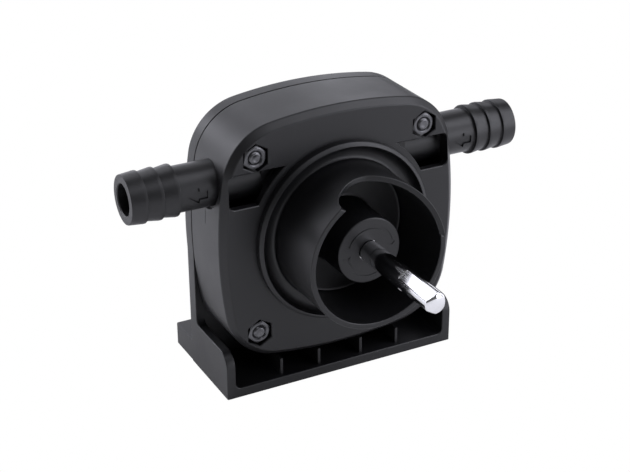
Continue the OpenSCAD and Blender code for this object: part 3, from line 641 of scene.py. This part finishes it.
# ring, trough, guard collar and bearing hub, all round the shaft
frontWorks = {
    "ring": 34.8,
    "ringHole": 33.6,
    "trough": -22.9,
    # from the trough's floor to the crest: inwards from the ring, forwards from the floor
    "bowl": ((4.8, 0.05), (3.9, 0.3), (3.1, 0.8), (2.5, 1.5), (2.05, 2.3), (1.8, 3.1)),
    # over the crest: inwards from the ring, back from its top
    "crest": ((1.7, 0.3), (1.6, 0.08), (1.4, 0), (1.15, 0.08), (0.3, 0.75), (0.08, 1.0), (0, 1.3)),
    # the collar's root: outwards from the collar, forwards from the floor
    "collarRoot": ((0, 0.95), (0.1, 0.6), (0.4, 0.25), (0.9, 0.05), (1.6, 0)),
    # the hub's front edge: inwards from the hub, back from its face
    "hubEdge": ((0.55, 0), (0.25, 0.1), (0.06, 0.32), (0, 0.6)),
    "collar": 27.3,
    "collarInside": 25.2,
    "collarFloor": -22.0,
    "collarEdge": 0.4,
    "hub": 12.6,
    "hubBore": 11.0,
    "shankHole": 4.12,
    "bearingLip": (7.5, -42.4),            # its radius and front
    "retainerGroove": (0.6, -34.5, -33.4), # its depth and ends
    "gapTurn": 25,         # where the finger gap faces, right of straight up
    "gapCentre": (-13, -49.6),
    "gapRadius": 10,
    "gapRamp": (23.4, -51.0),
    "gapInside": 13.8,
    "gapReach": 26,
}


def buildFrontWorks():
    k = frontWorks
    rim, top, hubFace, wall = planes["collarRim"], planes["ringTop"], planes["hubFace"], planes["frontWall"]
    collar, inside, floor = k["collar"], k["collarInside"], k["collarFloor"]
    hub, bore, ring, trough = k["hub"], k["hubBore"], k["ring"], k["trough"]
    lip, lipFront = k["bearingLip"]
    groove, grooveFront, grooveBack = k["retainerGroove"]
    profile = [(k["shankHole"], hubFace)]
    profile += [(hub - r, hubFace + y) for r, y in k["hubEdge"]]
    profile += [(hub, floor - 1.2), (hub + 0.3, floor - 0.4), (hub + 1.2, floor)]
    profile += [(inside - 1.2, floor), (inside - 0.3, floor - 0.4), (inside, floor - 1.2)]
    profile += [(inside, rim), (collar, rim)]
    profile += [(collar + r, trough - y) for r, y in k["collarRoot"]]
    profile += [(ring - r, trough - y) for r, y in k["bowl"]]
    profile += [(ring - r, top + y) for r, y in k["crest"]]
    profile += [(ring, wall), (bore, wall), (bore, grooveBack), (bore + groove, grooveBack)]
    profile += [(bore + groove, grooveFront), (bore, grooveFront), (bore, planes["bearing"])]
    profile += [(lip, planes["bearing"]), (lip, lipFront), (k["shankHole"], lipFront)]
    works = turnOnShaft("frontWorks", closed(profile), 160)
    # the finger gap: a round end on the left and a long ramp to the right
    cx, cy = k["gapCentre"]
    rampX, rampY = k["gapRamp"]
    radius, inner = k["gapRadius"], shaftHeight + k["gapInside"]
    span = math.hypot(rampX - cx, rampY - cy)
    tilt = math.asin((cy - rampY) / span) + math.asin(radius / span)
    start = (cx - radius - 0.6, rim - 1, inner)
    gap = startDrawing("gapTool", start)
    drawTo(gap, (cx - radius, cy, inner))
    drawArc((cx, cy, inner), 90 + math.degrees(tilt), 30, axis=(0, 0, 1))
    drawTo(gap, (rampX, rampY, inner), (rampX + 1, rim - 1, inner), start)
    fillAndExtrude(0, 0, k["gapReach"])
    combine(works, turnRound(gap, k["gapTurn"]))
    near = 0.3
    roundEdges(works, k["collarEdge"], 3, lambda p: p.y < -30 and (
        inside - near < distanceFrom(p, 0, shaftHeight) < collar + near))
    return works


# arrows that curve round the hub's face, sunk into it
hubArrows = {
    "inside": 8.45,
    "outside": 9.75,
    "headInside": 7.6,
    "headOutside": 10.6,
    "headAngle": 10,
    "headSweep": 4,
    "depth": 0.22,
    "spans": ((161, 2), (308, 181)),   # tail and tip, anticlockwise from the right
}


def onHub(radius, degrees, y):
    a = math.radians(degrees)
    return (radius * math.cos(a), y, shaftHeight + radius * math.sin(a))


def buildHubArrow(name, tail, tip):
    k = hubArrows
    y = planes["hubFace"] + k["depth"]
    neck = tip + k["headAngle"]
    back = neck - k["headSweep"]
    centre = (0, y, shaftHeight)
    arrow = startDrawing(name, onHub(k["inside"], tail, y))
    drawTo(arrow, onHub(k["outside"], tail, y))
    drawArc(centre, neck - tail, 36)
    middle = (k["inside"] + k["outside"]) / 2
    drawTo(arrow, onHub(k["headOutside"], back, y), onHub(middle, tip, y),
           onHub(k["headInside"], back, y), onHub(k["inside"], neck, y))
    drawArc(centre, tail - neck, 36)
    fillAndExtrude(0, -1, 0)
    return arrow


windows = {
    "outer": 44.6,
    "bottom": 16.6,
    "top": 29.5,
    "round": 2.4,
    "clearOfRing": 37.2,
    "depth": 5.6,
    "edge": 0.3,
}


# a window's tool is wider in front of the face, so that it leaves a softened edge
def buildWindowTool():
    k = windows
    grow = 2 * k["edge"]
    y = planes["face"] - k["edge"]
    radius = k["clearOfRing"] - grow
    low, high, outer = k["bottom"] - grow, k["top"] + grow, k["outer"] + grow
    corner = k["round"] + grow
    x0, x1 = math.sqrt(radius ** 2 - low ** 2), math.sqrt(radius ** 2 - high ** 2)
    tool = startDrawing("windowTool", (x0, y, shaftHeight + low))
    drawTo(tool, (outer - corner, y, shaftHeight + low))
    drawArc((outer - corner, y, shaftHeight + low + corner), 90, 8)
    drawTo(tool, (outer, y, shaftHeight + high - corner))
    drawArc((outer - corner, y, shaftHeight + high - corner), 90, 8)
    drawTo(tool, (x1, y, shaftHeight + high))
    drawArc((0, y, shaftHeight), math.degrees(math.atan2(low, x0) - math.atan2(high, x1)), 14)
    fillAndExtrude(0, -2, 0, keepEditing=True)
    selectFaces(tool, lambda face: face.normal.y > 0.9)
    bpy.ops.mesh.inset(thickness=grow * mm, depth=grow * mm)
    deeper = at(0, k["depth"] - k["edge"], 0)
    bpy.ops.mesh.extrude_region_move(TRANSFORM_OT_translate={"value": deeper})
    bpy.ops.mesh.select_mode(type="VERT")
    bpy.ops.object.mode_set(mode="OBJECT")
    return tool


# a hexagon pocket with a small bevel at its mouth
def buildPocketTool(x, z):
    k = casing
    face, edge = planes["face"], k["pocketEdge"]
    corner = k["pocketFlats"] / math.sqrt(3)
    pocket = addRod("pocketTool", corner, face - edge - 1, face + k["pocketDepth"], x, z, 6)
    makeActive(pocket)
    bpy.ops.object.mode_set(mode="EDIT")
    selectFaces(pocket, lambda part: part.normal.y < -0.9)
    bpy.ops.transform.translate(value=at(0, 1 + 2 * edge, 0))
    bpy.ops.mesh.extrude_region_move(TRANSFORM_OT_translate={"value": at(0, -2 * edge, 0)})
    widen = 1 + 2 * edge / (k["pocketFlats"] / 2)
    bpy.ops.transform.resize(value=(widen, 1, widen), center_override=at(x, face, z))
    bpy.ops.mesh.extrude_region_move(TRANSFORM_OT_translate={"value": at(0, -1, 0)})
    bpy.ops.mesh.select_mode(type="VERT")
    bpy.ops.object.mode_set(mode="OBJECT")
    return pocket


def buildHousingShell():
    k = casing
    face, parting = planes["face"], planes["parting"]
    front, step = face + k["bevel"], parting - k["partingGap"]
    housing = drawOutline("frontHousing", front)
    fillAndExtrude(0, step - front, 0, keepEditing=True)
    for side, thickness, depth in ((1, k["partingLip"], 0), (-1, k["bevel"], k["bevel"])):
        selectFaces(housing, lambda part: part.normal.y * side > 0.9 and len(part.verts) > 30)
        bpy.ops.mesh.inset(thickness=thickness * mm, depth=depth * mm)
        if side > 0:
            lip = at(0, k["partingGap"], 0)
            bpy.ops.mesh.extrude_region_move(TRANSFORM_OT_translate={"value": lip})
    bpy.ops.mesh.select_mode(type="VERT")
    bpy.ops.object.mode_set(mode="OBJECT")
    roundEdges(housing, k["edge"], 4, lambda p: p.y < front + 0.1)
    roundEdges(housing, k["rearEdge"], 2, lambda p: abs(p.y - step) < 0.1, 60)
    hollow = drawOutline("hollowTool", face + k["wall"], k["wall"])
    fillAndExtrude(0, parting - face, 0)
    return combine(housing, hollow)


def addHousingInside(housing):
    k, c = casing, chamber
    front, parting, plate = planes["frontWall"], planes["parting"], planes["wearPlate"]
    bore, back = frontWorks["hubBore"], planes["chamber"]
    wall = turnOnShaft("chamberWall", closed([
        (bore, front), (c["outside"], front), (c["outside"], parting), (c["spigotSeat"], parting),
        (c["spigotSeat"], plate), (c["inside"], plate), (c["inside"], back), (bore, back)]), 96)
    combine(housing, wall, "UNION")
    for x, z in boltPlaces:
        combine(housing, addRod("boss", k["bossRadius"], front, parting, x, z, 48), "UNION")
    low, high = shaftHeight - k["rib"] / 2, shaftHeight + k["rib"] / 2
    for degrees in (0, 90, 180, 270, 45, 135):
        reach = k["ribTo"] if degrees % 90 == 0 else k["cornerRibTo"]
        rib = addBlock("rib", k["ribFrom"], reach, front, parting - k["ribShort"], low, high)
        combine(housing, turnRound(rib, -degrees), "UNION")
    radius, near, far = sockets["outside"]
    for side in (-1, 1):
        combine(housing, addStemRod("socket", radius, side * near, side * far), "UNION")


# the stems' holes through the casing's sides, each with a mould seam under it
def cutStemHoles(housing):
    k = sockets
    y, z = planes["stems"], stems["height"]
    for side in (-1, 1):
        for radius, near, far in k["cuts"]:
            combine(housing, addStemRod("stemTool", radius, side * near, side * far))
        lo, hi = sorted((side * k["seamAt"], side * far))
        seam = k["seamWidth"] / 2
        combine(housing, addBlock("seamTool", lo, hi, y - seam, y + seam, k["seamBottom"], z - 5))
    mouth, inner = k["cuts"][-1][:2]
    roundEdges(housing, k["mouthEdge"], 2, lambda p: abs(p.x) > inner - 0.3 and (
        abs(math.hypot(p.y - y, p.z - z) - mouth) < 0.4))


def buildFrontHousing():
    k = casing
    face, parting = planes["face"], planes["parting"]
    housing = buildHousingShell()
    print("housing: shell")
    addHousingInside(housing)
    print("housing: chamber, bosses, ribs and sockets")

    wall, bore = planes["frontWall"], frontWorks["hubBore"]
    combine(housing, addRod("ringHole", frontWorks["ringHole"], face - 1, wall + 0.4, sides=160))
    combine(housing, addRod("boreHole", bore, wall - 0.6, planes["chamber"] + 1, sides=96))
    combine(housing, buildFrontWorks(), "UNION")
    print("housing: ring, collar and hub")

    window = buildWindowTool()
    combine(housing, mirrorPiece(window, "windowLeft"))
    combine(housing, window)
    cutStemHoles(housing)
    for x, z in boltPlaces:
        combine(housing, addRod("boltTool", k["boltHole"], face - 1, parting + 1, x, z, 40))
        combine(housing, buildPocketTool(x, z))
    for index, (tail, tip) in enumerate(hubArrows["spans"]):
        combine(housing, buildHubArrow("hubArrow%d" % index, tail, tip))
    print("housing: windows, holes and pockets")
    smoothPiece(housing)
    fit(housing, "casing", "casing_plastic", "housingBlack", "front_housing")


buildFrontHousing()
print("front housing built")

foot = {
    "halfWidth": 48.0,
    "front": -24.0,
    "rear": 24.0,
    "floor": 3.7,
    "cheek": 3.5,
    "cheekHeight": 18.4,
    "cheekRound": 6,
    "fillet": 2.5,
    "proud": 0.02,         # of the tray past the plate it runs into
    "trayRound": 2.2,
    "ribs": (-24.8, -9.0, 9.0, 24.8),
    "ribThickness": 1.2,
    "ribTop": 10.3,
    "flangeHeight": 9.3,
    "hollowWidth": 25.2,   # three hollows under the flange
    "hollowRib": 4.8,
    "hollowTop": 6.3,
    "hollowEnds": (11.4, 21),
    "screwX": 30,
    "screwY": 16.7,
    "screwHole": 2.6,
    "screwMouth": 0.5,
    "screwPillar": 4.6,
    "edge": 0.45,
}

# the plate behind the parting line
cover = {
    "frontEdge": 0.2,
    "backEdge": 0.7,
    "hub": 15,
    "boss": 7.2,
    "rib": 1.6,
    "ribsEvery": 30,       # degrees
    "recessBottom": 11.3,
    "spigot": 29.95,
    "spigotInside": 26.5,
    "spigotFront": -0.6,
    "spigotEdge": 0.25,
    "sealGroove": (28.3, 0.2, 2.5),        # radius of its floor, and its ends
    "hollowFloor": 2.4,    # of the hollow inside the spigot
    "bushHole": 6.8,
    "bushEnd": 6.3,
    "headHole": 5.3,
    "headSeat": 5.9,
    "headMouth": 0.25,
}


# foot, floor and cheeks: the tray's section run front to back, trimmed to the side profile
def buildTray():
    k = foot
    half, r, wall = k["halfWidth"] + k["proud"], k["trayRound"], planes["parting"]
    inner, floor, front = half - k["cheek"], k["floor"], k["front"]
    top, bend, fillet = k["cheekHeight"], k["cheekRound"], k["fillet"]
    high = top + 5.6
    tray = startDrawing("tray", (-half, front, 0))
    drawTo(tray, (half, front, 0), (half, front, high), (inner, front, high), (inner, front, floor + r))
    drawArc((inner - r, front, floor + r), -90, 6)
    drawTo(tray, (r - inner, front, floor))
    drawArc((r - inner, front, floor + r), -90, 6)
    drawTo(tray, (-inner, front, high), (-half, front, high), (-half, front, 0))
    fillAndExtrude(0, wall + 2 - front, 0)
    x, ahead, back = -60, front - 0.01, wall + 1.9
    side = startDrawing("sideProfile", (x, ahead, -1))
    drawTo(side, (x, ahead, top - bend))
    drawArc((x, front + bend, top - bend), 90, 10, axis=(1, 0, 0))
    drawTo(side, (x, wall - fillet, top))
    drawArc((x, wall - fillet, top + fillet), -90, 6, axis=(1, 0, 0))
    drawTo(side, (x, back, top + fillet), (x, back, -1), (x, ahead, -1))
    fillAndExtrude(-2 * x, 0, 0)
    combine(tray, side, "INTERSECT")
    return roundEdges(tray, k["edge"], 3, lambda p: p.y < wall and p.z > 0.2)


def buildPlate():
    y, back, half = planes["parting"], planes["back"], foot["halfWidth"]
    reach, corner = casing["sideRadius"], casing["cornerAt"]
    bulgeAt = reach - casing["half"]
    tangent = math.degrees(math.atan2(corner, bulgeAt + corner))
    drop = math.degrees(math.acos((half + bulgeAt) / reach))
    a = math.radians(-drop)
    plate = startDrawing("rearCover", (half, y, 0))
    drawTo(plate, (reach * math.cos(a) - bulgeAt, y, shaftHeight + reach * math.sin(a)))
    drawArc((-bulgeAt, y, shaftHeight), drop + tangent, 10)
    drawArc((corner, y, shaftHeight + corner), 90 - 2 * tangent, 20)
    drawArc((0, y, shaftHeight - bulgeAt), 2 * tangent, 14)
    drawArc((-corner, y, shaftHeight + corner), 90 - 2 * tangent, 20)
    drawArc((bulgeAt, y, shaftHeight), drop + tangent, 10)
    drawTo(plate, (-half, y, 0), (half, y, 0))
    fillAndExtrude(0, back - y, 0)
    roundEdges(plate, cover["frontEdge"], 2, lambda p: p.y < y + 0.1)
    return roundEdges(plate, cover["backEdge"], 3, lambda p: p.y > back - 0.1 and p.z > 0.5)


# hollows in the back leave a hub, four bosses and a star of ribs
def buildBackHollows():
    k, wall = cover, casing["wall"]
    parting, half, bottom = planes["parting"], foot["halfWidth"], cover["recessBottom"]
    floor, past, deep = parting + wall, planes["back"] + 5, 4
    hollows = drawOutline("backHollows", floor, wall)
    fillAndExtrude(0, deep, 0)
    legs =addBlock("legs", wall - half, half - wall, floor, floor + deep, bottom, shaftHeight)
    combine(hollows, legs, "UNION")
    combine(hollows, addBlock("below", -60, 60, parting, past, 0, bottom))
    combine(hollows, addRod("hubLeft", k["hub"], parting, past, sides=96))
    for x, z in boltPlaces:
        combine(hollows, addRod("bossLeft", k["boss"], parting, past, x, z, 48))
    low, high = shaftHeight - k["rib"] / 2, shaftHeight + k["rib"] / 2
    for degrees in range(0, 180, k["ribsEvery"]):
        rib = addBlock("ribLeft", -100, 100, parting, past, low, high)
        combine(hollows, turnRound(rib, degrees))
    return hollows


def addSpigot(piece):
    k = cover
    outside, inside, front, edge = k["spigot"], k["spigotInside"], k["spigotFront"], k["spigotEdge"]
    deep, groove0, groove1 = k["sealGroove"]
    hub, floor, back = k["hub"], k["hollowFloor"], planes["parting"] + 0.6
    combine(piece, turnOnShaft("spigot", closed([
        (inside, front), (outside - edge, front), (outside, front + edge), (outside, groove0),
        (deep, groove0), (deep, groove1), (outside, groove1), (outside, back), (inside, back)]), 96), "UNION")
    combine(piece, addRod("bushWall", hub, front, 5, sides=96), "UNION")
    combine(piece, turnOnShaft("spigotHollow", closed([
        (hub, floor), (inside, floor), (inside, floor + 2), (hub, floor + 2)]), 96))
    combine(piece, addRod("bushHole", k["bushHole"], front - 1.4, k["bushEnd"], sides=96))


def addFoot(piece):
    k = foot
    parting, back, half = planes["parting"], planes["back"], k["halfWidth"]
    flange = addBlock("flange", -half, half, back - 1, k["rear"], 0, k["flangeHeight"])
    roundEdges(flange, k["edge"], 3, lambda p: p.y > back + 1)
    combine(piece, flange, "UNION")
    combine(piece, buildTray(), "UNION")
    thick = k["ribThickness"] / 2
    for x in k["ribs"]:
        rib = addBlock("floorRib", x - thick, x + thick, k["front"] + 2, parting + 1, 3, k["ribTop"])
        roundEdges(rib, 0.25, 2, lambda p: p.z > 3.2)
        combine(piece, rib, "UNION")
    width, (y0, y1) = k["hollowWidth"], k["hollowEnds"]
    screwPlaces = [(side * k["screwX"], k["screwY"]) for side in (-1, 1)]
    for step in (-1, 0, 1):
        middle = step * (width + k["hollowRib"])
        x0, x1 = middle - width / 2, middle + width / 2
        hollow = addBlock("flangeHollow", x0, x1, y0, y1, -1, k["hollowTop"])
        for x, y in screwPlaces:
            combine(hollow, addBar("pillar", k["screwPillar"], 20, (x, y, 2), 48))
        combine(piece, hollow)
    hole, mouth, top = k["screwHole"], k["screwHole"] + k["screwMouth"], k["flangeHeight"] + 0.1
    profile = [(0, -1), (hole, -1), (hole, top - k["screwMouth"]), (mouth, top), (mouth, 11), (0, 11)]
    for x, y in screwPlaces:
        combine(piece, turnProfile("screwTool", profile, (x, y, 0), (0, 0, 1), (1, 0, 0), 48))


def buildRearCover():
    k, parting, back = cover, planes["parting"], planes["back"]
    piece = buildPlate()
    print("cover: plate")
    combine(piece, buildBackHollows())
    print("cover: back")
    addSpigot(piece)
    print("cover: spigot")
    addFoot(piece)
    seat, hole, edge = k["headSeat"], k["headHole"], k["headMouth"]
    wide, past = hole + 2 * edge, back + 1.6
    for x, z in boltPlaces:
        combine(piece, addRod("boltTool", casing["boltHole"], parting - 1, back + 1, x, z, 40))
        combine(piece, turnOnShaft("headTool", [
            (0, seat), (hole, seat), (hole, back - edge), (wide, back + edge), (wide, past),
            (0, past)], 48, x, z))
    print("cover: foot and flange")
    smoothPiece(piece)
    fit(piece, "casing", "cover_plastic", "coverBlack", "rear_cover")


buildRearCover()
print("rear cover built")


# a profile of (radius, place along the stems' axis) turned round it
def turnOnStem(name, profile):
    centre = (0, planes["stems"], stems["height"])
    return turnProfile(name, closed(profile), centre, (1, 0, 0), (0, 0, 1), 128)


def buildStemBody(name):
    k = stems
    r, crest, bore, inner, outer = k["radius"], k["crest"], k["bore"], k["inner"], k["outer"]
    profile = [(bore, outer - 0.35), (bore + 0.35, outer)]
    profile += [(r + rise, outer - x) for rise, x in k["hoseEnd"]]
    for index, middle in enumerate(k["crests"]):
        root = r + k["betweenBarbs"] if index < len(k["crests"]) - 1 else r
        profile += [(crest - drop, middle + x) for drop, x in k["barb"]]
        profile += [(root + 0.1, middle - 0.62), (root, middle - 0.75)]
    g0, g1, deep = k["sealGroove"]
    profile += [(r, g1), (deep, g1), (deep, g0), (r, g0)]
    profile += [(r, inner + 0.3), (r - 0.3, inner), (bore, inner)]
    return turnOnStem(name, profile)


def buildStemArrow(side):
    k = stems
    x, y, z = k["arrowAt"][side], planes["stems"], k["height"]
    wide, thin = k["arrowWidth"] / 2, k["arrowTail"] / 2
    tip, end = x - k["arrowLength"] / 2, x + k["arrowLength"] / 2
    neck = tip + k["arrowHead"]
    arrow = startDrawing("arrow", (tip, y, z))
    drawTo(arrow, (neck, y + wide, z), (neck, y + thin, z), (end, y + thin, z),
           (end, y - thin, z), (neck, y - thin, z), (neck, y - wide, z), (tip, y, z))
    fillAndExtrude(0, 0, 14, keepEditing=True)
    turn = math.radians(k["arrowTurn"] - 90)
    bpy.ops.transform.rotate(value=turn, orient_axis="X", center_override=at(x, y, z))
    bpy.ops.object.mode_set(mode="OBJECT")
    floor, x0, x1 = k["radius"] - k["arrowDepth"], x - 8, x + 8
    shell = turnOnStem("arrowShell", [(floor, x0), (floor + 2, x0), (floor + 2, x1), (floor, x1)])
    return combine(shell, arrow, "INTERSECT")


def finishStem(stem, side, node):
    near, far, seat = stems["clipSlot"]
    lo, hi = sorted((side * near, side * far))
    y, z, past = planes["stems"], stems["height"], 12
    front = y - 0.1
    # the slot for the clip: flats on three sides
    for y0, z0, z1 in (
            (front, z + seat, z + past), (front, z - past, z - seat), (y + seat, z - past, z + past)):
        combine(stem, addBlock("slotTool", lo, hi, y0, y + past, z0, z1))
    combine(stem, buildStemArrow(side))
    smoothPiece(stem, 24)
    fit(stem, "casing", "stem_plastic", "stemBlack", node)


inlet = buildStemBody("inletStem")
outlet = mirrorPiece(inlet, "outletStem")
finishStem(inlet, 1, "inlet_stem")
finishStem(outlet, -1, "outlet_stem")
print("stems built")

fasteners = {
    "nutFlats": 8.0,
    "nutFront": -22.8,
    "nutBack": -18.8,
    "nutChamfer": 3.72,
    "nutThread": 2.56,
    "nutMouth": (3.0, 0.42),               # its radius and depth
    "turns": (16, 8, 22, 12),
    "boltRadius": 2.5,
    "boltEnd": -23.1,
    # by radius, back from the end
    "boltTip": ((0, 0.22), (0.6, 0.2), (1.1, 0.07), (1.45, 0), (1.7, 0.02), (1.95, 0.15)),
    "headRadius": 4.7,
    "headFront": 6.9,
    "headBack": 9.9,
    # in from the head's radius, back from its front
    "headDome": ((0.15, 0), (0, 0.15), (0, 1.2), (0.35, 1.95), (1.1, 2.5), (2.3, 2.88)),
    "cross": (0.5, 2.4, 8.1),              # half width, half length, floor
    "washer": (2.65, 5.0, 5.9, 6.9),
}


def buildNut():
    k = fasteners
    front, back, corner = k["nutFront"], k["nutBack"], k["nutFlats"] / math.sqrt(3)
    nut = addRod("nut", corner, front, back, 0, 0, 6)
    roundEdges(nut, 0.18, 2, lambda p: front + 0.5 < p.y < back - 0.5)
    c, r = k["nutChamfer"], corner + 0.3
    slope = (r - c) * math.tan(math.radians(30))
    combine(nut, turnOnShaft("nutTrim", [
        (0, front - 0.001), (c - 0.1, front - 0.001), (c, front + 0.04), (r, front + slope),
        (r, back - slope), (c, back - 0.04), (c - 0.1, back + 0.001), (0, back + 0.001)],
        72, 0, 0), "INTERSECT")
    thread, (mouth, deep) = k["nutThread"], k["nutMouth"]
    wide = mouth + 0.15
    combine(nut, turnOnShaft("nutBore", [
        (0, front - 1), (wide, front - 1), (mouth, front), (thread, front + deep),
        (thread, back - deep), (mouth, back), (wide, back + 1), (0, back + 1)], 56, 0, 0))
    return smoothPiece(nut, 30)


def buildBolt():
    k = fasteners
    r, end, head, seat, top = k["boltRadius"], k["boltEnd"], k["headRadius"], k["headFront"], k["headBack"]
    profile = [(radius, end + y) for radius, y in k["boltTip"]]
    profile += [(r - 0.1, end + 0.6), (r, end + 0.8), (r, seat)]
    profile += [(head - drop, seat + y) for drop, y in k["headDome"]]
    profile += [(head - 3.6, top), (0, top)]
    bolt = turnOnShaft("bolt", profile, 56, 0, 0)
    thin, long, floor = k["cross"]
    for x, z in ((thin, long), (long, thin)):
        combine(bolt, addBlock("crossArm", -x, x, floor, top + 1.1, -z, z))
    return smoothPiece(bolt, 34)


def buildWasher():
    inner, outer, y0, y1 = fasteners["washer"]
    washer = turnOnShaft("washer", closed([
        (inner, y0 + 0.12), (inner + 0.12, y0), (outer - 0.2, y0), (outer - 0.05, y0 + 0.08),
        (outer, y0 + 0.25), (outer, y1 - 0.25), (outer - 0.05, y1 - 0.08), (outer - 0.2, y1),
        (inner + 0.12, y1), (inner, y1 - 0.12)]), 56, 0, 0)
    return smoothPiece(washer, 40)


nut, bolt, washer = buildNut(), buildBolt(), buildWasher()
for index, (x, z) in enumerate(boltPlaces):
    for pattern, name, node in (
            (nut, "casingNut", "casing_nuts"), (bolt, "casingBolt", "casing_bolts"),
            (washer, "casingWasher", "casing_washers")):
        piece = copyPiece(pattern, "%s%d" % (name, index + 1), x, 0, z)
        if pattern == nut:
            turnRound(piece, fasteners["turns"][index], x, z)
        fit(piece, "casing", "fastener_steel", "zincSteel", node)
for pattern in (nut, bolt, washer):
    bpy.data.objects.remove(pattern)
print("nuts, bolts and washers built")

driveShaft = {
    "shank": 4.0,
    "shaft": 5.0,
    "dome": 1.5,
    "flatDepth": 0.63,
    "flatLength": 19.5,
    "flatEdge": 0.14,
    "neck": -44.1,
    "undercut": 3.75,
    "shoulder": -42.1,
    "groove": 4.6,
    "grooves": ((-41.32, -40.5), (-34.5, -33.68)),
    "end": 5.8,
    "pinAt": -10.1,
    "pinRadius": 1.5,
}


def buildDriveShaft():
    k = driveShaft
    r, body, tip, end = k["shank"], k["shaft"], planes["shankTip"], k["end"]
    neck, thin, shoulder, groove = k["neck"], k["undercut"], k["shoulder"], k["groove"]
    dome = []
    for degrees in range(0, 91, 9):
        a = math.radians(degrees)
        dome.append((r * math.sin(a), tip + k["dome"] * (1 - math.cos(a))))
    (a0, a1), (b0, b1) = k["grooves"]
    shaft = turnOnShaft("driveShaft", dome + [
        (r, neck), (thin, neck + 0.1), (thin, shoulder), (body - 0.3, shoulder), (body, shoulder + 0.3),
        (body, a0), (groove, a0), (groove, a1), (body, a1), (body, b0), (groove, b0), (groove, b1),
        (body, b1), (body, end - 0.5), (body - 0.5, end), (0, end)], 112)
    flatEnd, low, high = tip + k["flatLength"], shaftHeight - 6, shaftHeight + 6
    for degrees in (0, 120, 240):
        flat = addBlock("flatTool", r - k["flatDepth"], r + 2, tip - 1, flatEnd, low, high)
        combine(shaft, turnRound(flat, degrees))
    roundEdges(shaft, k["flatEdge"], 2, lambda p: p.y < flatEnd + 0.5, 12)
    combine(shaft, addBar("pinHole", k["pinRadius"], 20, (0, k["pinAt"], shaftHeight), 32))
    smoothPiece(shaft, 20)
    fit(shaft, "rotor", "shaft_chrome", "chromedSteel", "drive_shaft")


buildDriveShaft()
print("drive shaft built")

# the pieces inside keep their own shapes
insideFinishes = {
    "casing_seal": "sealRubber",
    "wear_plate": "plateSteel",
    "stem_seals": "sealRubber",
    "stem_clips": "springSteel",
    "shaft_seal_case": "springSteel",
    "shaft_seal_lip": "sealRubber",
    "shaft_seal_spring": "springSteel",
    "bearing_outer_ring": "bearingSteel",
    "bearing_shields": "plateSteel",
    "bearing_retainer": "springSteel",
    "rear_bush": "turnedBronze",
    "shaft_circlips": "springSteel",
    "bearing_inner_ring": "bearingSteel",
    "drive_pin": "bearingSteel",
    "impeller_sleeve": "turnedBronze",
    "impeller": "impellerRubber",
    "bearing_balls": "bearingSteel",
    "bearing_cage": "turnedBronze",
}

for node, finish in insideFinishes.items():
    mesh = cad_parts[node].data
    mesh.materials.clear()
    mesh.materials.append(finishes[finish])
print("inside pieces finished")

clearSelection()
